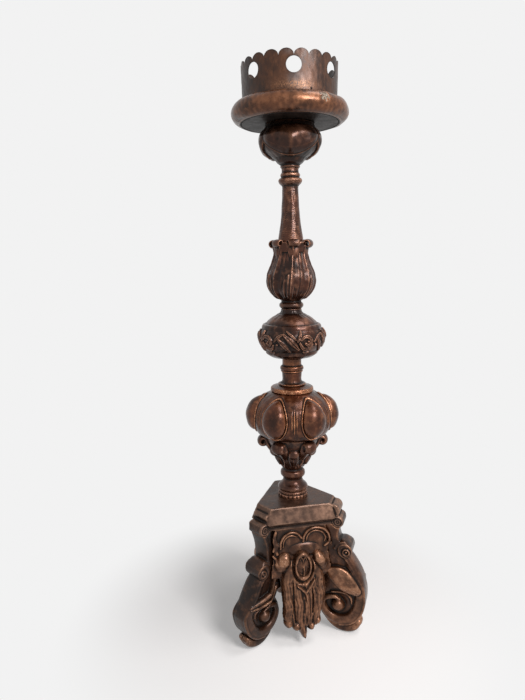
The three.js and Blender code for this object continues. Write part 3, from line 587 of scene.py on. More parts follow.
def bare_wood():
    p = Paint("raw_timber")
    grain = p.noise(3, detail=6, roughness=0.6, stretch=(1, 1, 0.08), distortion=0.4)
    stain = p.noise(30, detail=4)
    base = p.blend(p.span(grain, 0.38, 0.62), linear(96, 66, 44), linear(146, 110, 78))
    p.link(p.blend(p.span(stain, 0.45, 0.7), base, linear(70, 48, 34)), p.shader.inputs["Base Color"])
    p.shader.inputs["Roughness"].default_value = 0.82
    p.link(p.bump(grain, 0.6, 0.5), p.shader.inputs["Normal"])
    return p.material


def pan_paint():
    """The rim's bronze, a dull board underneath and bare putty where the rim is chipped."""
    colours = ((42, 22, 12), (80, 46, 28), (134, 88, 60), (196, 158, 134))
    p = bronze("pan_paint", *colours, gloss=0.28, flaking=0.2)
    painted, rough, metal = (p.shader.inputs[name] for name in ("Base Color", "Roughness", "Metallic"))
    dull = p.blend(p.span(p.noise(14, detail=6), 0.35, 0.65), linear(34, 24, 18), linear(52, 39, 32))
    base = p.blend(p.mark("underside"), painted.links[0].from_socket, dull)
    putty = p.blend(p.span(p.noise(2.4, detail=4), 0.4, 0.6), linear(84, 66, 50), linear(150, 138, 122))
    p.link(p.blend(p.mark("chip"), base, putty), painted)
    bare = p.math("ADD", p.mark("underside"), p.mark("chip"), clamp=True)
    p.link(p.math("ADD", rough.links[0].from_socket, p.math("MULTIPLY", bare, 0.35)), rough)
    p.link(p.math("MULTIPLY", metal.links[0].from_socket, p.math("SUBTRACT", 1.0, bare)), metal)
    return p.material


CALYX_PAINT = bronze(
    "calyx_paint", (26, 12, 6), (50, 26, 16), (116, 76, 54), (206, 164, 136), gloss=0.28
).material
# Painted shade: a darker copy of the base paint for the left leg and its pad, on the side turned away from
# the lamps.
SHADED_LEFT_LEG_PAINT = bronze(
    "left_leg_painted_shade", (28, 15, 9), (56, 34, 23), (116, 80, 58), (196, 158, 130), gloss=0.32
).material
STEM_PAINT = bronze(
    "stem_paint", (38, 17, 8), (74, 39, 24), (160, 112, 86), (240, 206, 184), gloss=0.26
).material
BULB_PAINT = bronze(
    "bulb_paint", (46, 21, 9), (86, 46, 27), (172, 112, 76), (242, 194, 154), gloss=0.26
).material
BASE_PAINT = bronze(
    "base_paint", (44, 23, 12), (82, 49, 31), (168, 120, 90), (226, 188, 160), gloss=0.28, flaking=0.55
).material
CAP_PAINT = bronze(
    "cap_paint", (44, 27, 18), (70, 48, 37), (150, 116, 96), (190, 156, 132), gloss=0.42, flaking=0.5
).material
PAN_PAINT = pan_paint()
CROWN_PAINT = patinated_metal("crown_patina")
IRON = wrought_iron()
BARE_WOOD = bare_wood()


def dress(obj, node, material, hollows=True):
    """The finished piece: painted, riding on the root body, and standing for its CAD node."""
    obj.name = f"{node}_dressed"
    obj.data.name = obj.name
    obj.data.transform(Matrix.Translation((AXIS_X * MM, AXIS_Y * MM, 0)))
    if hollows:
        mark_hollows(obj)
    if "wear_and_highlight" not in obj.data.attributes:
        mark_points(obj, "wear_and_highlight", np.zeros(len(obj.data.vertices)))
    obj.data.materials.clear()
    obj.data.materials.append(material)
    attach(obj, "root")
    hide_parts(node)
    return obj


# ---------------------------------------------------------------- stem

CAMERA_AZIMUTH = -12


def stem_foot_ring():
    """A low ring with a row of carved beads."""
    rows = profile(
        [(1, SEAT_GAP), (26.2, SEAT_GAP)],
        [(27, 2.4), (27, 6), (25.2, 8)],
        [(26.4, 9.6), (26.2, 12), (25, 13.8)],
        [(1, 13.8)],
        step=0.45,
    )
    ring = Turning(rows, CAP_TOP, step=0.5)
    beads = 22
    across = np.abs(np.sin(beads / 2 * ring.azimuth))
    lower = eased(ring.height, 0.4, 1.4) * (1 - eased(ring.height, 6.2, 7.8))
    ring.lift = lower * (1.5 * across**0.45 - 1.6)
    upper = eased(ring.height, 8.4, 9.4) * (1 - eased(ring.height, 12, 13.4))
    ring.lift = ring.lift - upper * 0.8 * np.clip(1 - across * 3, 0, 1)
    ring.marks["wear_and_highlight"] = lower * eased(across, 0.5, 0.9) * 0.9
    dress(ring.made("ring"), "stem_foot_ring", STEM_PAINT)


def curled_leaf(azimuth, root, waist, reach, height, roll, width, thickness=2.6):
    """A leaf that rises from the stem and rolls over outwards. Points are (radius, height)."""
    centre = (reach - roll, height)
    angles = np.radians(np.linspace(125, -250, 30))
    radii = np.linspace(1.0, 0.38, 30) * roll
    scroll = [(centre[0] + r * math.cos(a), centre[1] + r * math.sin(a)) for a, r in zip(angles, radii)]
    path = spaced(np.vstack([curve([root, waist, scroll[0]], 8)[:-1], scroll]), 1.3)
    points = np.stack([0 * path[:, 0], -path[:, 0], path[:, 1]], 1)
    widths = np.array([0.55, 0.8, 1.0, 1.0, 0.95, 0.8, 0.75]) * width / 2
    leaf = tube(turn(points, azimuth), thickness, widths, up=turn((1, 0, 0), azimuth), sides=18)
    rib_points = points + np.array([0, 0, 0.4])
    rib_path = turn(rib_points[: len(points) // 2], azimuth)
    rib = tube(rib_path, thickness + 1.1, 1.3, up=turn((1, 0, 0), azimuth), sides=8)
    return [leaf, rib]


def lower_baluster():
    """A bud with a ring and an ogee foot under it, and two tiers of curled leaves round its cup."""
    rows = profile(
        [(1, SEAT_GAP), (25.6, SEAT_GAP)],
        [(27.2, 2.6), (26.9, 6), (24.4, 9.4), (20.4, 13), (18, 17.5), (17.3, 21.5)],
        [(18.6, 22.6), (19, 24.6)],
        [(21.6, 26.4), (22.6, 30), (21.8, 34.6), (19.4, 37.2)],
        [(17.8, 38.8), (18.4, 41)],
        [(21.4, 45.6), (25, 52), (28.4, 60), (30.4, 67), (34, 75), (40, 84), (47, 94), (52, 103.6)],
        [(1, 103.6)],
    )
    body = Turning(rows, RING_TOP, step=0.8)
    u, v = body.azimuth, body.height
    bud = eased(v, 42, 48) * (1 - eased(v, 84, 96))
    lobes = 5
    across = np.abs(((u - math.radians(-22)) * lobes / math.pi + 1) % 2 - 1)
    body.lift = bud * (2.2 * arch(across) - 1.6)
    for k in range(lobes):
        arc = body.turned_to(-22 + 36 + 72 * k) * 26
        for side in (-1, 1):
            path = curve([(0, 45), (side * 5, 56), (side * 3, 68), (side * 9, 82)])
            body.lift = body.lift + 1.5 * ridge(arc, v, path, [1.2, 2.2, 1.6], 1.0) * bud
    beads = np.maximum(0, np.cos(14 * u)) * eased(v, 42, 44.5) * (1 - eased(v, 47, 51))
    body.lift = body.lift + 0.9 * beads
    parts = [body.made("baluster")]
    for i in range(6):
        azimuth = 18 + 60 * i
        wobble = math.sin(2.3 * i)
        parts += curled_leaf(azimuth, (29, RING_TOP + 66), (42, RING_TOP + 82), 60.5 + 0.4 * wobble,
                             RING_TOP + 91 + 1.2 * wobble, 7.6, 25, 5.4)
        parts += curled_leaf(azimuth + 30, (24, RING_TOP + 52), (32, RING_TOP + 66), 43 + 1.0 * wobble,
                             RING_TOP + 77 + wobble, 6.8, 20, 4.6)
    whole = fused("baluster", parts, voxel=0.8)
    dress(whole, "lower_baluster", STEM_PAINT)


BULB_RADIUS = 71
BOSS_HALF_WIDTH = 20.5
BOSS_HALF_HEIGHT = 27.5
BOSS_LIFT = 13
BOSS_HEIGHT = 39
BOSS_AZIMUTH = 18


def gadrooned_bulb():
    """Six egg-shaped bosses, each in a thin raised border, round a squat bulb."""
    rows = profile(
        [(1, SEAT_GAP), (50, SEAT_GAP)],
        [(58, 2.5), (64.5, 8), (69, 18), (71, 30), (70.6, 42), (67, 54), (60, 64), (49.5, 73), (37, 79.6)],
        [(1, 79.6)],
        step=0.6,
    )
    bulb = Turning(rows, BALUSTER_TOP, step=0.62)
    v = bulb.height
    wear_and_highlight = np.zeros(bulb.azimuth.shape)
    for i in range(6):
        azimuth = BOSS_AZIMUTH + 60 * i
        u = bulb.turned_to(azimuth) * BULB_RADIUS
        tall = np.where(v > BOSS_HEIGHT, 1.08, 0.98)
        reach = np.hypot(u / BOSS_HALF_WIDTH, (v - BOSS_HEIGHT) / (BOSS_HALF_HEIGHT * tall))
        egg = BOSS_LIFT * np.clip(1 - (reach / 1.1) ** 2, 0, 1) ** 0.56
        border = 2.2 * arch((reach - 1.2) / 0.05)
        ditch = -1.1 * np.clip(1 - ((reach - 1.12) / 0.04) ** 2, 0, 1)
        outer = -0.8 * np.clip(1 - ((reach - 1.28) / 0.06) ** 2, 0, 1)
        bulb.lift = bulb.lift + egg + border + ditch + outer
        wear_and_highlight = np.maximum(wear_and_highlight, 1.1 * np.clip(1 - ((reach - 1.2) / 0.06) ** 2, 0, 1))
        between = bulb.turned_to(azimuth + 30) * BULB_RADIUS
        patch = dome(between, v, (0, BOSS_HEIGHT - 1), 7.5, 12, 1, power=1)
        wear_and_highlight = np.maximum(wear_and_highlight, (1.1 if i == 5 else 0.45) * patch)
        ribs = dome(between, v, (0, BOSS_HEIGHT), 8, 24, 0.7, power=0.7)
        bulb.lift = bulb.lift + np.cos(2 * math.pi * between / 4.6) * ribs
    bulb.lift = bulb.lift + 0.35 * waves(bulb.azimuth * BULB_RADIUS, v, 5, 26)
    bulb.lift = bulb.lift * (1 - eased(v, 75, 79)) * eased(v, 1, 6)
    bulb.marks["wear_and_highlight"] = wear_and_highlight
    dress(bulb.made("bulb"), "gadrooned_bulb", BULB_PAINT)


def neck_spool():
    """A turned neck with a ring, over a wide collar that is lighter all round from wear and carries a
    painted highlight on its front.
    """
    rows = profile(
        [(1, SEAT_GAP), (36.6, SEAT_GAP)],
        [(38.1, 1.6), (38.2, 4.4), (37.4, 7.2), (35.6, 8.4)],
        [(29.6, 9.6), (24.6, 11.2), (22.4, 12.4)],
        [(24.6, 13), (24.6, 14.2), (22.6, 15)],
        [(19.6, 16), (17.6, 19), (17, 24), (17.6, 32), (18.2, 35.4)],
        [(19.4, 35.8), (19.6, 37.2), (18.8, 38)],
        [(20.6, 40), (20.8, 42.6), (20, 45.2), (17.8, 46.6)],
        [(17, 48.4), (16.8, 58.6)],
        [(1, 58.6)],
        step=0.45,
    )
    spool = Turning(rows, BULB_TOP, step=0.55)
    u, v = spool.azimuth * 38, spool.height
    collar = eased(v, 0.3, 1.5) * (1 - eased(v, 7.4, 9))
    spool.lift = 0.22 * collar * waves(u, v, 11, 3) + 0.12 * waves(u, v, 12, 14)
    # The collar's light mark is wear all round and, much stronger on the side facing the camera, a painted
    # highlight.
    front = eased(np.cos(spool.turned_to(CAMERA_AZIMUTH + 4)), 0.35, 0.95)
    spool.marks["wear_and_highlight"] = np.clip(collar * (0.35 + 1.1 * front) + 0.5 * eased(v, 46, 50), 0, 1.3)
    dress(spool.made("spool"), "neck_spool", BULB_PAINT)


BALL_RADIUS = 61.3
WREATH_REPEATS = 5
WREATH_DEPTH = 3.6
WREATH_CREST = 4.2


def carved_ball():
    """A flattened ball with a stepped shoulder and a wreath of curling leaves on its belly."""
    belly = [
        (25.7, 1.8), (35.5, 4.5), (43.5, 8.9), (49, 14.2), (53, 19.1), (55.8, 24), (58.2, 28.9), (60, 33.8),
        (61, 38.7), (61.3, 43.6), (60.4, 48.5), (57.9, 53.4), (55.2, 57), (51.5, 60.5), (49.6, 62.4),
    ]
    rows = profile(
        [(1, SEAT_GAP), (17.4, SEAT_GAP)],
        belly,
        [(46, 63.2), (44.6, 64.4)],
        [(40.4, 69), (34, 74), (27.6, 77.4)],
        [(26.4, 78.2), (24.8, 79.2), (20.6, 81)],
        [(18.6, 84), (17.8, 88.6)],
        [(1, 88.6)],
        step=0.55,
    )
    wreath = Turning(rows, SPOOL_TOP, step=0.6)
    v = wreath.height
    lift = np.zeros(v.shape)
    for k in range(WREATH_REPEATS):
        u = wreath.turned_to(CAMERA_AZIMUTH + 360 * k / WREATH_REPEATS) * BALL_RADIUS
        lift = np.maximum(lift, leaf_wreath(u, v + 1.0 * math.sin(2 * k)))
    band = eased(v, 10, 15) * (1 - eased(v, 56, 61))
    sunk = WREATH_DEPTH * (np.clip(lift / WREATH_CREST, 0, 1.15) - 1)
    wreath.lift = band * sunk + 0.25 * waves(wreath.azimuth * 60, v, 21, 17)
    shoulder = eased(v, 64, 70) * (1 - eased(v, 74, 80))
    wreath.marks["wear_and_highlight"] = band * eased(lift, 2.8, 4.4) * 0.35 + 0.25 * shoulder
    dress(wreath.made("ball"), "carved_ball", STEM_PAINT)


def veined(u, v, path, half_width, height, veins=5):
    """A leaf on a path: rounded, with a sunk midrib and slanting veins."""
    far, share = nearest(u, v, path)
    wide = along(half_width, share)
    body = along(height, share) * arch(far / wide)
    rib = bell(far, 0.14 * wide.max() + 0.01)
    vein = 0.5 + 0.5 * np.cos(2 * math.pi * veins * share - 2.2 * far / wide)
    return np.where(body > 0, np.maximum(body * (1 - 0.3 * rib - 0.07 * vein), 0), 0)


def leaf_wreath(u, v):
    """One repeat of the wreath round the ball, about 77 mm long."""
    lift = np.zeros(np.shape(u))
    leaves = [
        ([(-17, 50), (-9, 42), (0, 33), (10, 23)], [2.4, 6.0, 6.4, 2.6], 4.4),
        ([(-28, 42), (-20, 32), (-12, 23), (-6, 17)], [2.0, 5.0, 5.0, 2.0], 3.9),
        ([(-12, 56), (-4, 49), (4, 41)], [1.6, 3.2, 2.2], 3.6),
        ([(-18, 51), (-26, 47), (-36, 37)], [1.8, 4.2, 2.0], 3.4),
        ([(8, 38), (12, 46), (14, 56)], [2.6, 4.6, 1.8], 3.9),
        ([(14, 40), (21, 46), (30, 44), (34, 36), (29, 30), (23, 33)], [2.2, 4.0, 4.4, 4.0, 3.4, 2.6], 4.3),
        ([(12, 34), (17, 26), (25, 22), (33, 24), (38, 31)], [2.2, 3.8, 4.0, 3.2, 1.6], 3.9),
        ([(22, 17), (28, 14), (34, 16)], [1.8, 2.8, 1.6], 3.2),
    ]
    for path, width, height in leaves:
        lift = np.maximum(lift, veined(u, v, curve(path, 6), width, height))
    for centre, size in (((10.5, 41.5), 3.6), ((28, 37), 2.4), ((-31, 31), 2.6)):
        lift = np.maximum(lift, dome(u, v, centre, size, size, 4.2))
    return lift


def leaf_vase():
    """A tulip of upright, veined leaves whose tips roll outwards, over a plain ring knop."""
    rows = profile(
        [(1, SEAT_GAP), (18, SEAT_GAP)],
        [(20.4, 3), (21.3, 6), (20.4, 9), (17.6, 11.6)],
        [(17.2, 13.2), (18.6, 14.6)],
        [(26, 20), (34, 28), (39.4, 38), (41, 50), (39, 62), (34, 74), (29.4, 87), (27.6, 96),
         (28.8, 103), (30, 108)],
        [(27, 111.6)],
        [(1, 111.6)],
        step=0.6,
    )
    vase = Turning(rows, BALL_TOP, step=0.6)
    v = vase.height
    leafed = eased(v, 14.5, 20)
    twist = math.radians(14) * v / VASE_HEIGHT
    for k in range(8):
        u = (vase.turned_to(CAMERA_AZIMUTH - 9 + 45 * k) - twist)
        u = ((u + math.pi) % (2 * math.pi) - math.pi) * vase.radius
        pitch = vase.radius * math.pi / 8
        across = np.clip(np.abs(u) / pitch, 0, 1)
        own = np.abs(u) <= pitch
        blade = 2.8 * (1 - across**3)
        flute = 1.2 * np.cos(across * math.pi * 2.1) * (1 - across * 0.3)
        rib = 0.9 * bell(u, 1.6)
        vase.lift = np.where(own, blade + flute + rib - 2.4, vase.lift)
    for k in range(6):
        u = (vase.turned_to(CAMERA_AZIMUTH - 76 + 60 * k) - twist) * 38
        half_width = 13.5 * np.sqrt(np.clip((60 - v) / 34, 0, 1)) + 0.1
        outline = np.clip(1 - (np.abs(u) / half_width) ** 2.4, 0, 1)
        tier = 2.6 * outline**0.4 * eased(v, 14, 24) * (v < 60)
        grain = 0.6 * np.cos(u * 0.9) + 0.8 * bell(u, 1.6)
        vase.lift = np.where(tier > 0.3, np.maximum(vase.lift, tier + grain - 1.2), vase.lift)
    uneven = 0.3 * waves(vase.azimuth * 40, v, 31, 15) * leafed
    vase.lift = vase.lift * leafed * (1 - eased(v, 106, 111)) + uneven
    vase.marks["wear_and_highlight"] = leafed * 0.5 * np.clip(vase.lift, 0, 1)
    parts = [vase.made("vase")]
    for k in range(6):
        azimuth = CAMERA_AZIMUTH + 66 + 60 * k
        reach, roll = (38.5, 6.8) if k in (0, 3) else (34.5, 5.6)
        tip = BALL_TOP + 117 - roll
        parts += curled_leaf(azimuth, (26, BALL_TOP + 84), (28, BALL_TOP + 97), reach, tip, roll, 21, 2.3)
    blade_path = [(0, -26, BALL_TOP + 98), (0, -28, BALL_TOP + 106), (0, -29, BALL_TOP + 114)]
    for k in range(6):
        azimuth = CAMERA_AZIMUTH + 36 + 60 * k
        parts.append(tube(turn(blade_path, azimuth), 2.6, [9, 9, 5], up=turn((1, 0, 0), azimuth)))
    whole = fused("vase", parts, voxel=0.75, smooth_steps=1)
    dress(whole, "leaf_vase", STEM_PAINT)


def upper_shaft():
    """A plain tapering shaft with a ringed knop at its top."""
    rows = profile(
        [(1, SEAT_GAP), (22, SEAT_GAP)],
        [(21.4, 8), (19.2, 22), (17, 37), (15.5, 54), (14.4, 72), (13.6, 90), (13.7, 95)],
        [(15.4, 97), (18.2, 99.6), (20, 103), (20.1, 105.4), (18.6, 107.6)],
        [(16.4, 108.6), (15.6, 110.4)],
        [(16.6, 112), (16.6, 114.4), (15.4, 116.4)],
        [(14.2, 118), (14.2, 123.6)],
        [(1, 123.6)],
        step=0.5,
    )
    shaft = Turning(rows, VASE_TOP, step=0.5)
    u, v = shaft.azimuth * 15, shaft.height
    shaft.lift = 0.22 * waves(u, v * 0.35, 41, 9) + 0.1 * waves(u, v, 42, 4)
    shaft.marks["wear_and_highlight"] = 0.25 * eased(v, 96, 101) * (1 - eased(v, 106, 109)) + 0.12
    dress(shaft.made("shaft"), "upper_shaft", STEM_PAINT)


def calyx():
    """A cup of three overlapping petals, each with a narrow raised hem."""
    rows = profile(
        [(1, SEAT_GAP), (15, SEAT_GAP)],
        [(16.8, 2.6), (16.2, 5), (18.6, 7)],
        [(23.4, 10), (33, 16), (43.6, 23.6), (50, 31.6), (52.4, 41), (51.4, 49.6), (46.6, 58), (42.6, 64),
         (41, 70.6)],
        [(1, 70.6)],
        step=0.6,
    )
    cup = Turning(rows, SHAFT_TOP, step=0.65)
    v = cup.height
    petals = np.full(v.shape, -3.2)
    wear_and_highlight = np.zeros(v.shape)
    for k in range(3):
        t = cup.turned_to(-13 + 120 * k) / math.radians(62)
        hem = 15 + 26 * np.abs(t) ** 2.6
        above = v - hem
        blade = np.sqrt(np.clip(above / 13, 0, 1)) * 4.4 * np.clip(1 - t**6, 0, 1) ** 0.5
        hollow = 3.2 * bell(np.abs(t) - 0.42, 0.2) * bell(v - 38, 11)
        keel = 2.0 * bell(t, 0.11) * bell(v - 38, 16)
        edge = 1.5 * bell(above - 1.6, 1.1)
        petal = np.where(above > 0, blade - 2.4 + edge - hollow + keel, -9)
        petals = np.maximum(petals, petal)
        wear_and_highlight = np.maximum(wear_and_highlight, np.where(above > 0, 0.8 * bell(above - 1.6, 1.3), 0))
        # Painted highlight: a light patch high on the middle of each petal, strongest on the front petal.
        glow = np.exp(-((t / 0.32) ** 2) - ((v - 49) / 7) ** 2)
        wear_and_highlight = np.maximum(wear_and_highlight, glow * (0.8 if k == 0 else 0.5))
    shown = eased(v, 8, 14) * (1 - eased(v, 58, 66))
    cup.lift = petals * shown + 0.25 * waves(cup.azimuth * 50, v, 51, 18) * shown
    cup.marks["wear_and_highlight"] = wear_and_highlight * shown
    dress(cup.made("calyx"), "calyx", CALYX_PAINT)


# ---------------------------------------------------------------- pan, gallery and pricket

PAN_REACH = 98.2


def drip_pan():
    """A turned board with a round rim, an incised ring underneath and a low board on top."""
    rim = 15.4
    angles = np.radians(np.linspace(-88, 88, 15))
    rim_points = [(PAN_REACH - rim + rim * math.cos(a), 17 + 16.6 * math.sin(a)) for a in angles]
    board = high("drip_pan").z - CALYX_TOP
    rows = profile(
        [(9, 0.5), (80, 0.5)],
        [(80.6, 1.8), (81.4, 1.8), (82, 0.5)],
        rim_points[:1],
        rim_points[1:],
        [(82, 33.8), (76.2, 33.8)],
        [(76.2, board - 0.6), (75.6, board)],
        [(11.3, board)],
        step=0.8,
    )
    pan = Turning(rows, CALYX_TOP, step=1.1)
    u, v = pan.azimuth * 90, pan.height
    rim_zone = eased(pan.radius, 83, 88)
    pan.lift = rim_zone * (0.5 * waves(u, v * 2, 61, 60) + 0.08 * waves(u, v, 62, 12)) - 0.5 * rim_zone
    arc = pan.turned_to(CAMERA_AZIMUTH) * 98
    ragged = 0.5 * waves(u, v, 64, 6) * (np.hypot(arc - 53, v - 23) < 12)
    chip = dome(arc, v, (53, 23), 9, 7.5, 1, power=1) + ragged
    chip = eased(chip, 0.25, 0.5) * (np.hypot((arc - 53) / 11, (v - 23) / 9) < 1) * rim_zone
    pan.lift = pan.lift - 0.5 * chip
    pan.marks["chip"] = chip
    # The rim's light band is some wear all round and, strongest on the side facing the camera, a painted
    # highlight along the middle of the rim.
    front = eased(np.cos(pan.turned_to(CAMERA_AZIMUTH + 4)), 0.6, 1.0)
    pan.marks["wear_and_highlight"] = rim_zone * (0.25 + 0.75 * front) * bell(v - 18, 8)
    pan.marks["underside"] = (pan.height < 3) * (pan.radius < 84) * 1.0
    dress(pan.made("pan"), "drip_pan", PAN_PAINT)


SCALLOPS = 21
SCALLOP_DEPTH = 9.5
HOLES = 7
HOLE_RADIUS = 12
HOLE_HEIGHT = 36
HOLE_AZIMUTH = -9.8
CROWN_FOOT_RADIUS = 78.2
CROWN_TOP_RADIUS = 79.8
CROWN_WALL = 1.2


def scallop_edge(azimuth, crown_height):
    pitch = 2 * math.pi / SCALLOPS
    turns = (azimuth - math.radians(HOLE_AZIMUTH)) / pitch
    across = 2 * (turns - np.floor(turns)) - 1
    return crown_height - 0.05 - SCALLOP_DEPTH * (1 - arch(across))


def crown_gallery():
    """A slightly buckled strip of sheet metal, scalloped above and pierced by seven round holes."""
    crown_height = CROWN_TOP - PAN_TOP
    columns = SCALLOPS * 40
    rows = 70
    azimuth = np.linspace(-math.pi, math.pi, columns, endpoint=False) + math.radians(HOLE_AZIMUTH)
    edge = scallop_edge(azimuth, crown_height)
    share = np.linspace(0, 1, rows)[:, None]
    height = mix(SEAT_GAP, edge[None, :], share)
    across, tall = np.broadcast_to(azimuth * 78, height.shape), height
    buckle = 0.35 * waves(across, tall * 0.6, 71, 55) + 0.12 * waves(across, tall, 72, 13)
    buckle = buckle * eased(tall, 0, 12)
    outer = mix(CROWN_FOOT_RADIUS, CROWN_TOP_RADIUS, height / crown_height) + buckle
    skins = []
    for radius in (outer, outer - CROWN_WALL):
        skins.append(np.stack([radius * np.sin(azimuth), -radius * np.cos(azimuth), PAN_TOP + height], -1))
    points = np.concatenate([skins[0], skins[1][::-1]])
    quads = wrapped_quads(2 * rows, columns)
    last = (2 * rows - 1) * columns + np.arange(columns)
    first = np.arange(columns)
    closing = np.stack([last, np.roll(last, -1), np.roll(first, -1), first], 1)
    crown = new_object("crown", points, quads, closing)
    punches = []
    for k in range(HOLES):
        middle = turn((0, -CROWN_TOP_RADIUS, PAN_TOP + HOLE_HEIGHT), HOLE_AZIMUTH + 360 * k / HOLES)
        inner = turn((0, -CROWN_TOP_RADIUS + 14, PAN_TOP + HOLE_HEIGHT), HOLE_AZIMUTH + 360 * k / HOLES)
        outside = turn((0, -CROWN_TOP_RADIUS - 9, PAN_TOP + HOLE_HEIGHT), HOLE_AZIMUTH + 360 * k / HOLES)
        punches.append(tube([inner, middle, outside], HOLE_RADIUS, sides=72))
    punch = joined([outward(p) for p in punches])
    outward(crown)
    cut = crown.modifiers.new("holes", "BOOLEAN")
    cut.operation = "DIFFERENCE"
    cut.solver = "EXACT"
    cut.object = punch
    applied(crown)
    bpy.data.objects.remove(punch)
    mark_crown(crown, crown_height)
    crown.data.shade_smooth()
    crown.data.set_sharp_from_angle(angle=math.radians(40))
    dress(crown, "crown_gallery", CROWN_PAINT, hollows=False)


def mark_crown(crown, crown_height):
    """Where the metal is darker near its scalloped edge and holes, where painted shade darkens its sides,
    inner face and foot, where it is grey from wear under the front hole, and where it is bright near the
    front of its foot, as wear and painted highlight together.
    """
    points = coordinates(crown.data) / MM
    azimuth = np.arctan2(points[:, 0], -points[:, 1])
    height = points[:, 2] - PAN_TOP
    outer = mix(CROWN_FOOT_RADIUS, CROWN_TOP_RADIUS, height / crown_height)
    inward = np.hypot(points[:, 0], points[:, 1]) < outer - 0.8
    edge = scallop_edge(azimuth, crown_height) - height
    pitch = 2 * math.pi / HOLES
    turns = (azimuth - math.radians(HOLE_AZIMUTH)) / pitch
    from_hole = np.hypot((turns - np.round(turns)) * pitch * 78, height - HOLE_HEIGHT) - HOLE_RADIUS
    view = (azimuth - math.radians(CAMERA_AZIMUTH) + math.pi) % (2 * math.pi) - math.pi
    side = eased(np.abs(view), 0.5, 1.15)
    # Darker near the scalloped edge and round the holes; painted shade along the very foot at the pan, on
    # the sides turned from the camera, and over the whole inner face.
    edge_dark_and_shade = np.maximum.reduce([
        0.95 * np.exp(-np.clip(edge, 0, 99) / 1.8),
        0.9 * np.exp(-np.clip(from_hole, 0, 99) / 1.6),
        0.8 * np.exp(-height / 1.4),
        0.75 * side,
        0.92 * inward,
    ])
    from_front_hole = (azimuth - math.radians(HOLE_AZIMUTH)) * 78
    below_hole = eased(26 - height, -2, 6) * (1 - eased(-height, -9, -2))
    smear = bell(from_front_hole, 9) * below_hole
    top_smear = bell(from_front_hole + 8, 8) * eased(height, 46, 56)
    # Light patch near the foot, centred on the side facing the camera: wear together with painted highlight.
    wear_and_highlight = bell(height - 8, 6) * bell(view * 78 - 4, 28)
    mark_points(crown, "edge_dark_and_shade", edge_dark_and_shade)
    mark_points(crown, "smear", np.clip(smear + 0.7 * top_smear, 0, 1) * (1 - inward))
    mark_points(crown, "wear_and_highlight", wear_and_highlight * (1 - inward))


def crown_tacks():
    height = PAN_TOP + 3.2
    rows = profile(
        [(0.05, -5.9), (0.55, -5.2), (0.6, 0)],
        [(1.7, 0)],
        [(1.65, 0.45), (1.15, 0.95), (0.05, 1.15)],
        step=0.12,
    )
    for i in range(3):
        tack = Turning(rows, 0, step=0.16).made("tack")
        turned = Matrix.Rotation(math.radians(10.4 + 120 * i), 4, "Z")
        place = Matrix.Translation((0, -(CROWN_FOOT_RADIUS + 0.35) * MM, height * MM))
        lay = place @ Matrix.Rotation(math.radians(90), 4, "X")
        tack.data.transform(turned @ lay)
        dress(tack, f"crown_tack_{i + 1}", IRON, hollows=False)


def pricket_spike():
    seat = high("drip_pan").z - 2.4
    rows = profile(
        [(0.3, -13.8), (4.1, -13.8)],
        [(4.1, 0.4)],
        [(10.8, 0.4)],
        [(10.9, 1.5), (9.4, 2.3), (6.5, 2.5), (4.4, 3.4), (3.4, 10), (2.3, 22), (1.0, 33), (0.1, 35.9)],
        step=0.5,
    )
    spike = Turning(rows, seat, step=0.45)
    spike.lift = 0.12 * waves(spike.azimuth * 6, spike.height, 81, 4)
    dress(spike.made("pricket"), "pricket_spike", IRON, hollows=False)


# ---------------------------------------------------------------- solids carved on a grid

def soft_max(a, b, blend):
    if blend == 0:
        return np.maximum(a, b)
    share = np.clip(0.5 + 0.5 * (a - b) / blend, 0, 1)
    return mix(b, a, share) + blend * share * (1 - share)


def soft_min(a, b, blend):
    return -soft_max(-a, -b, blend)


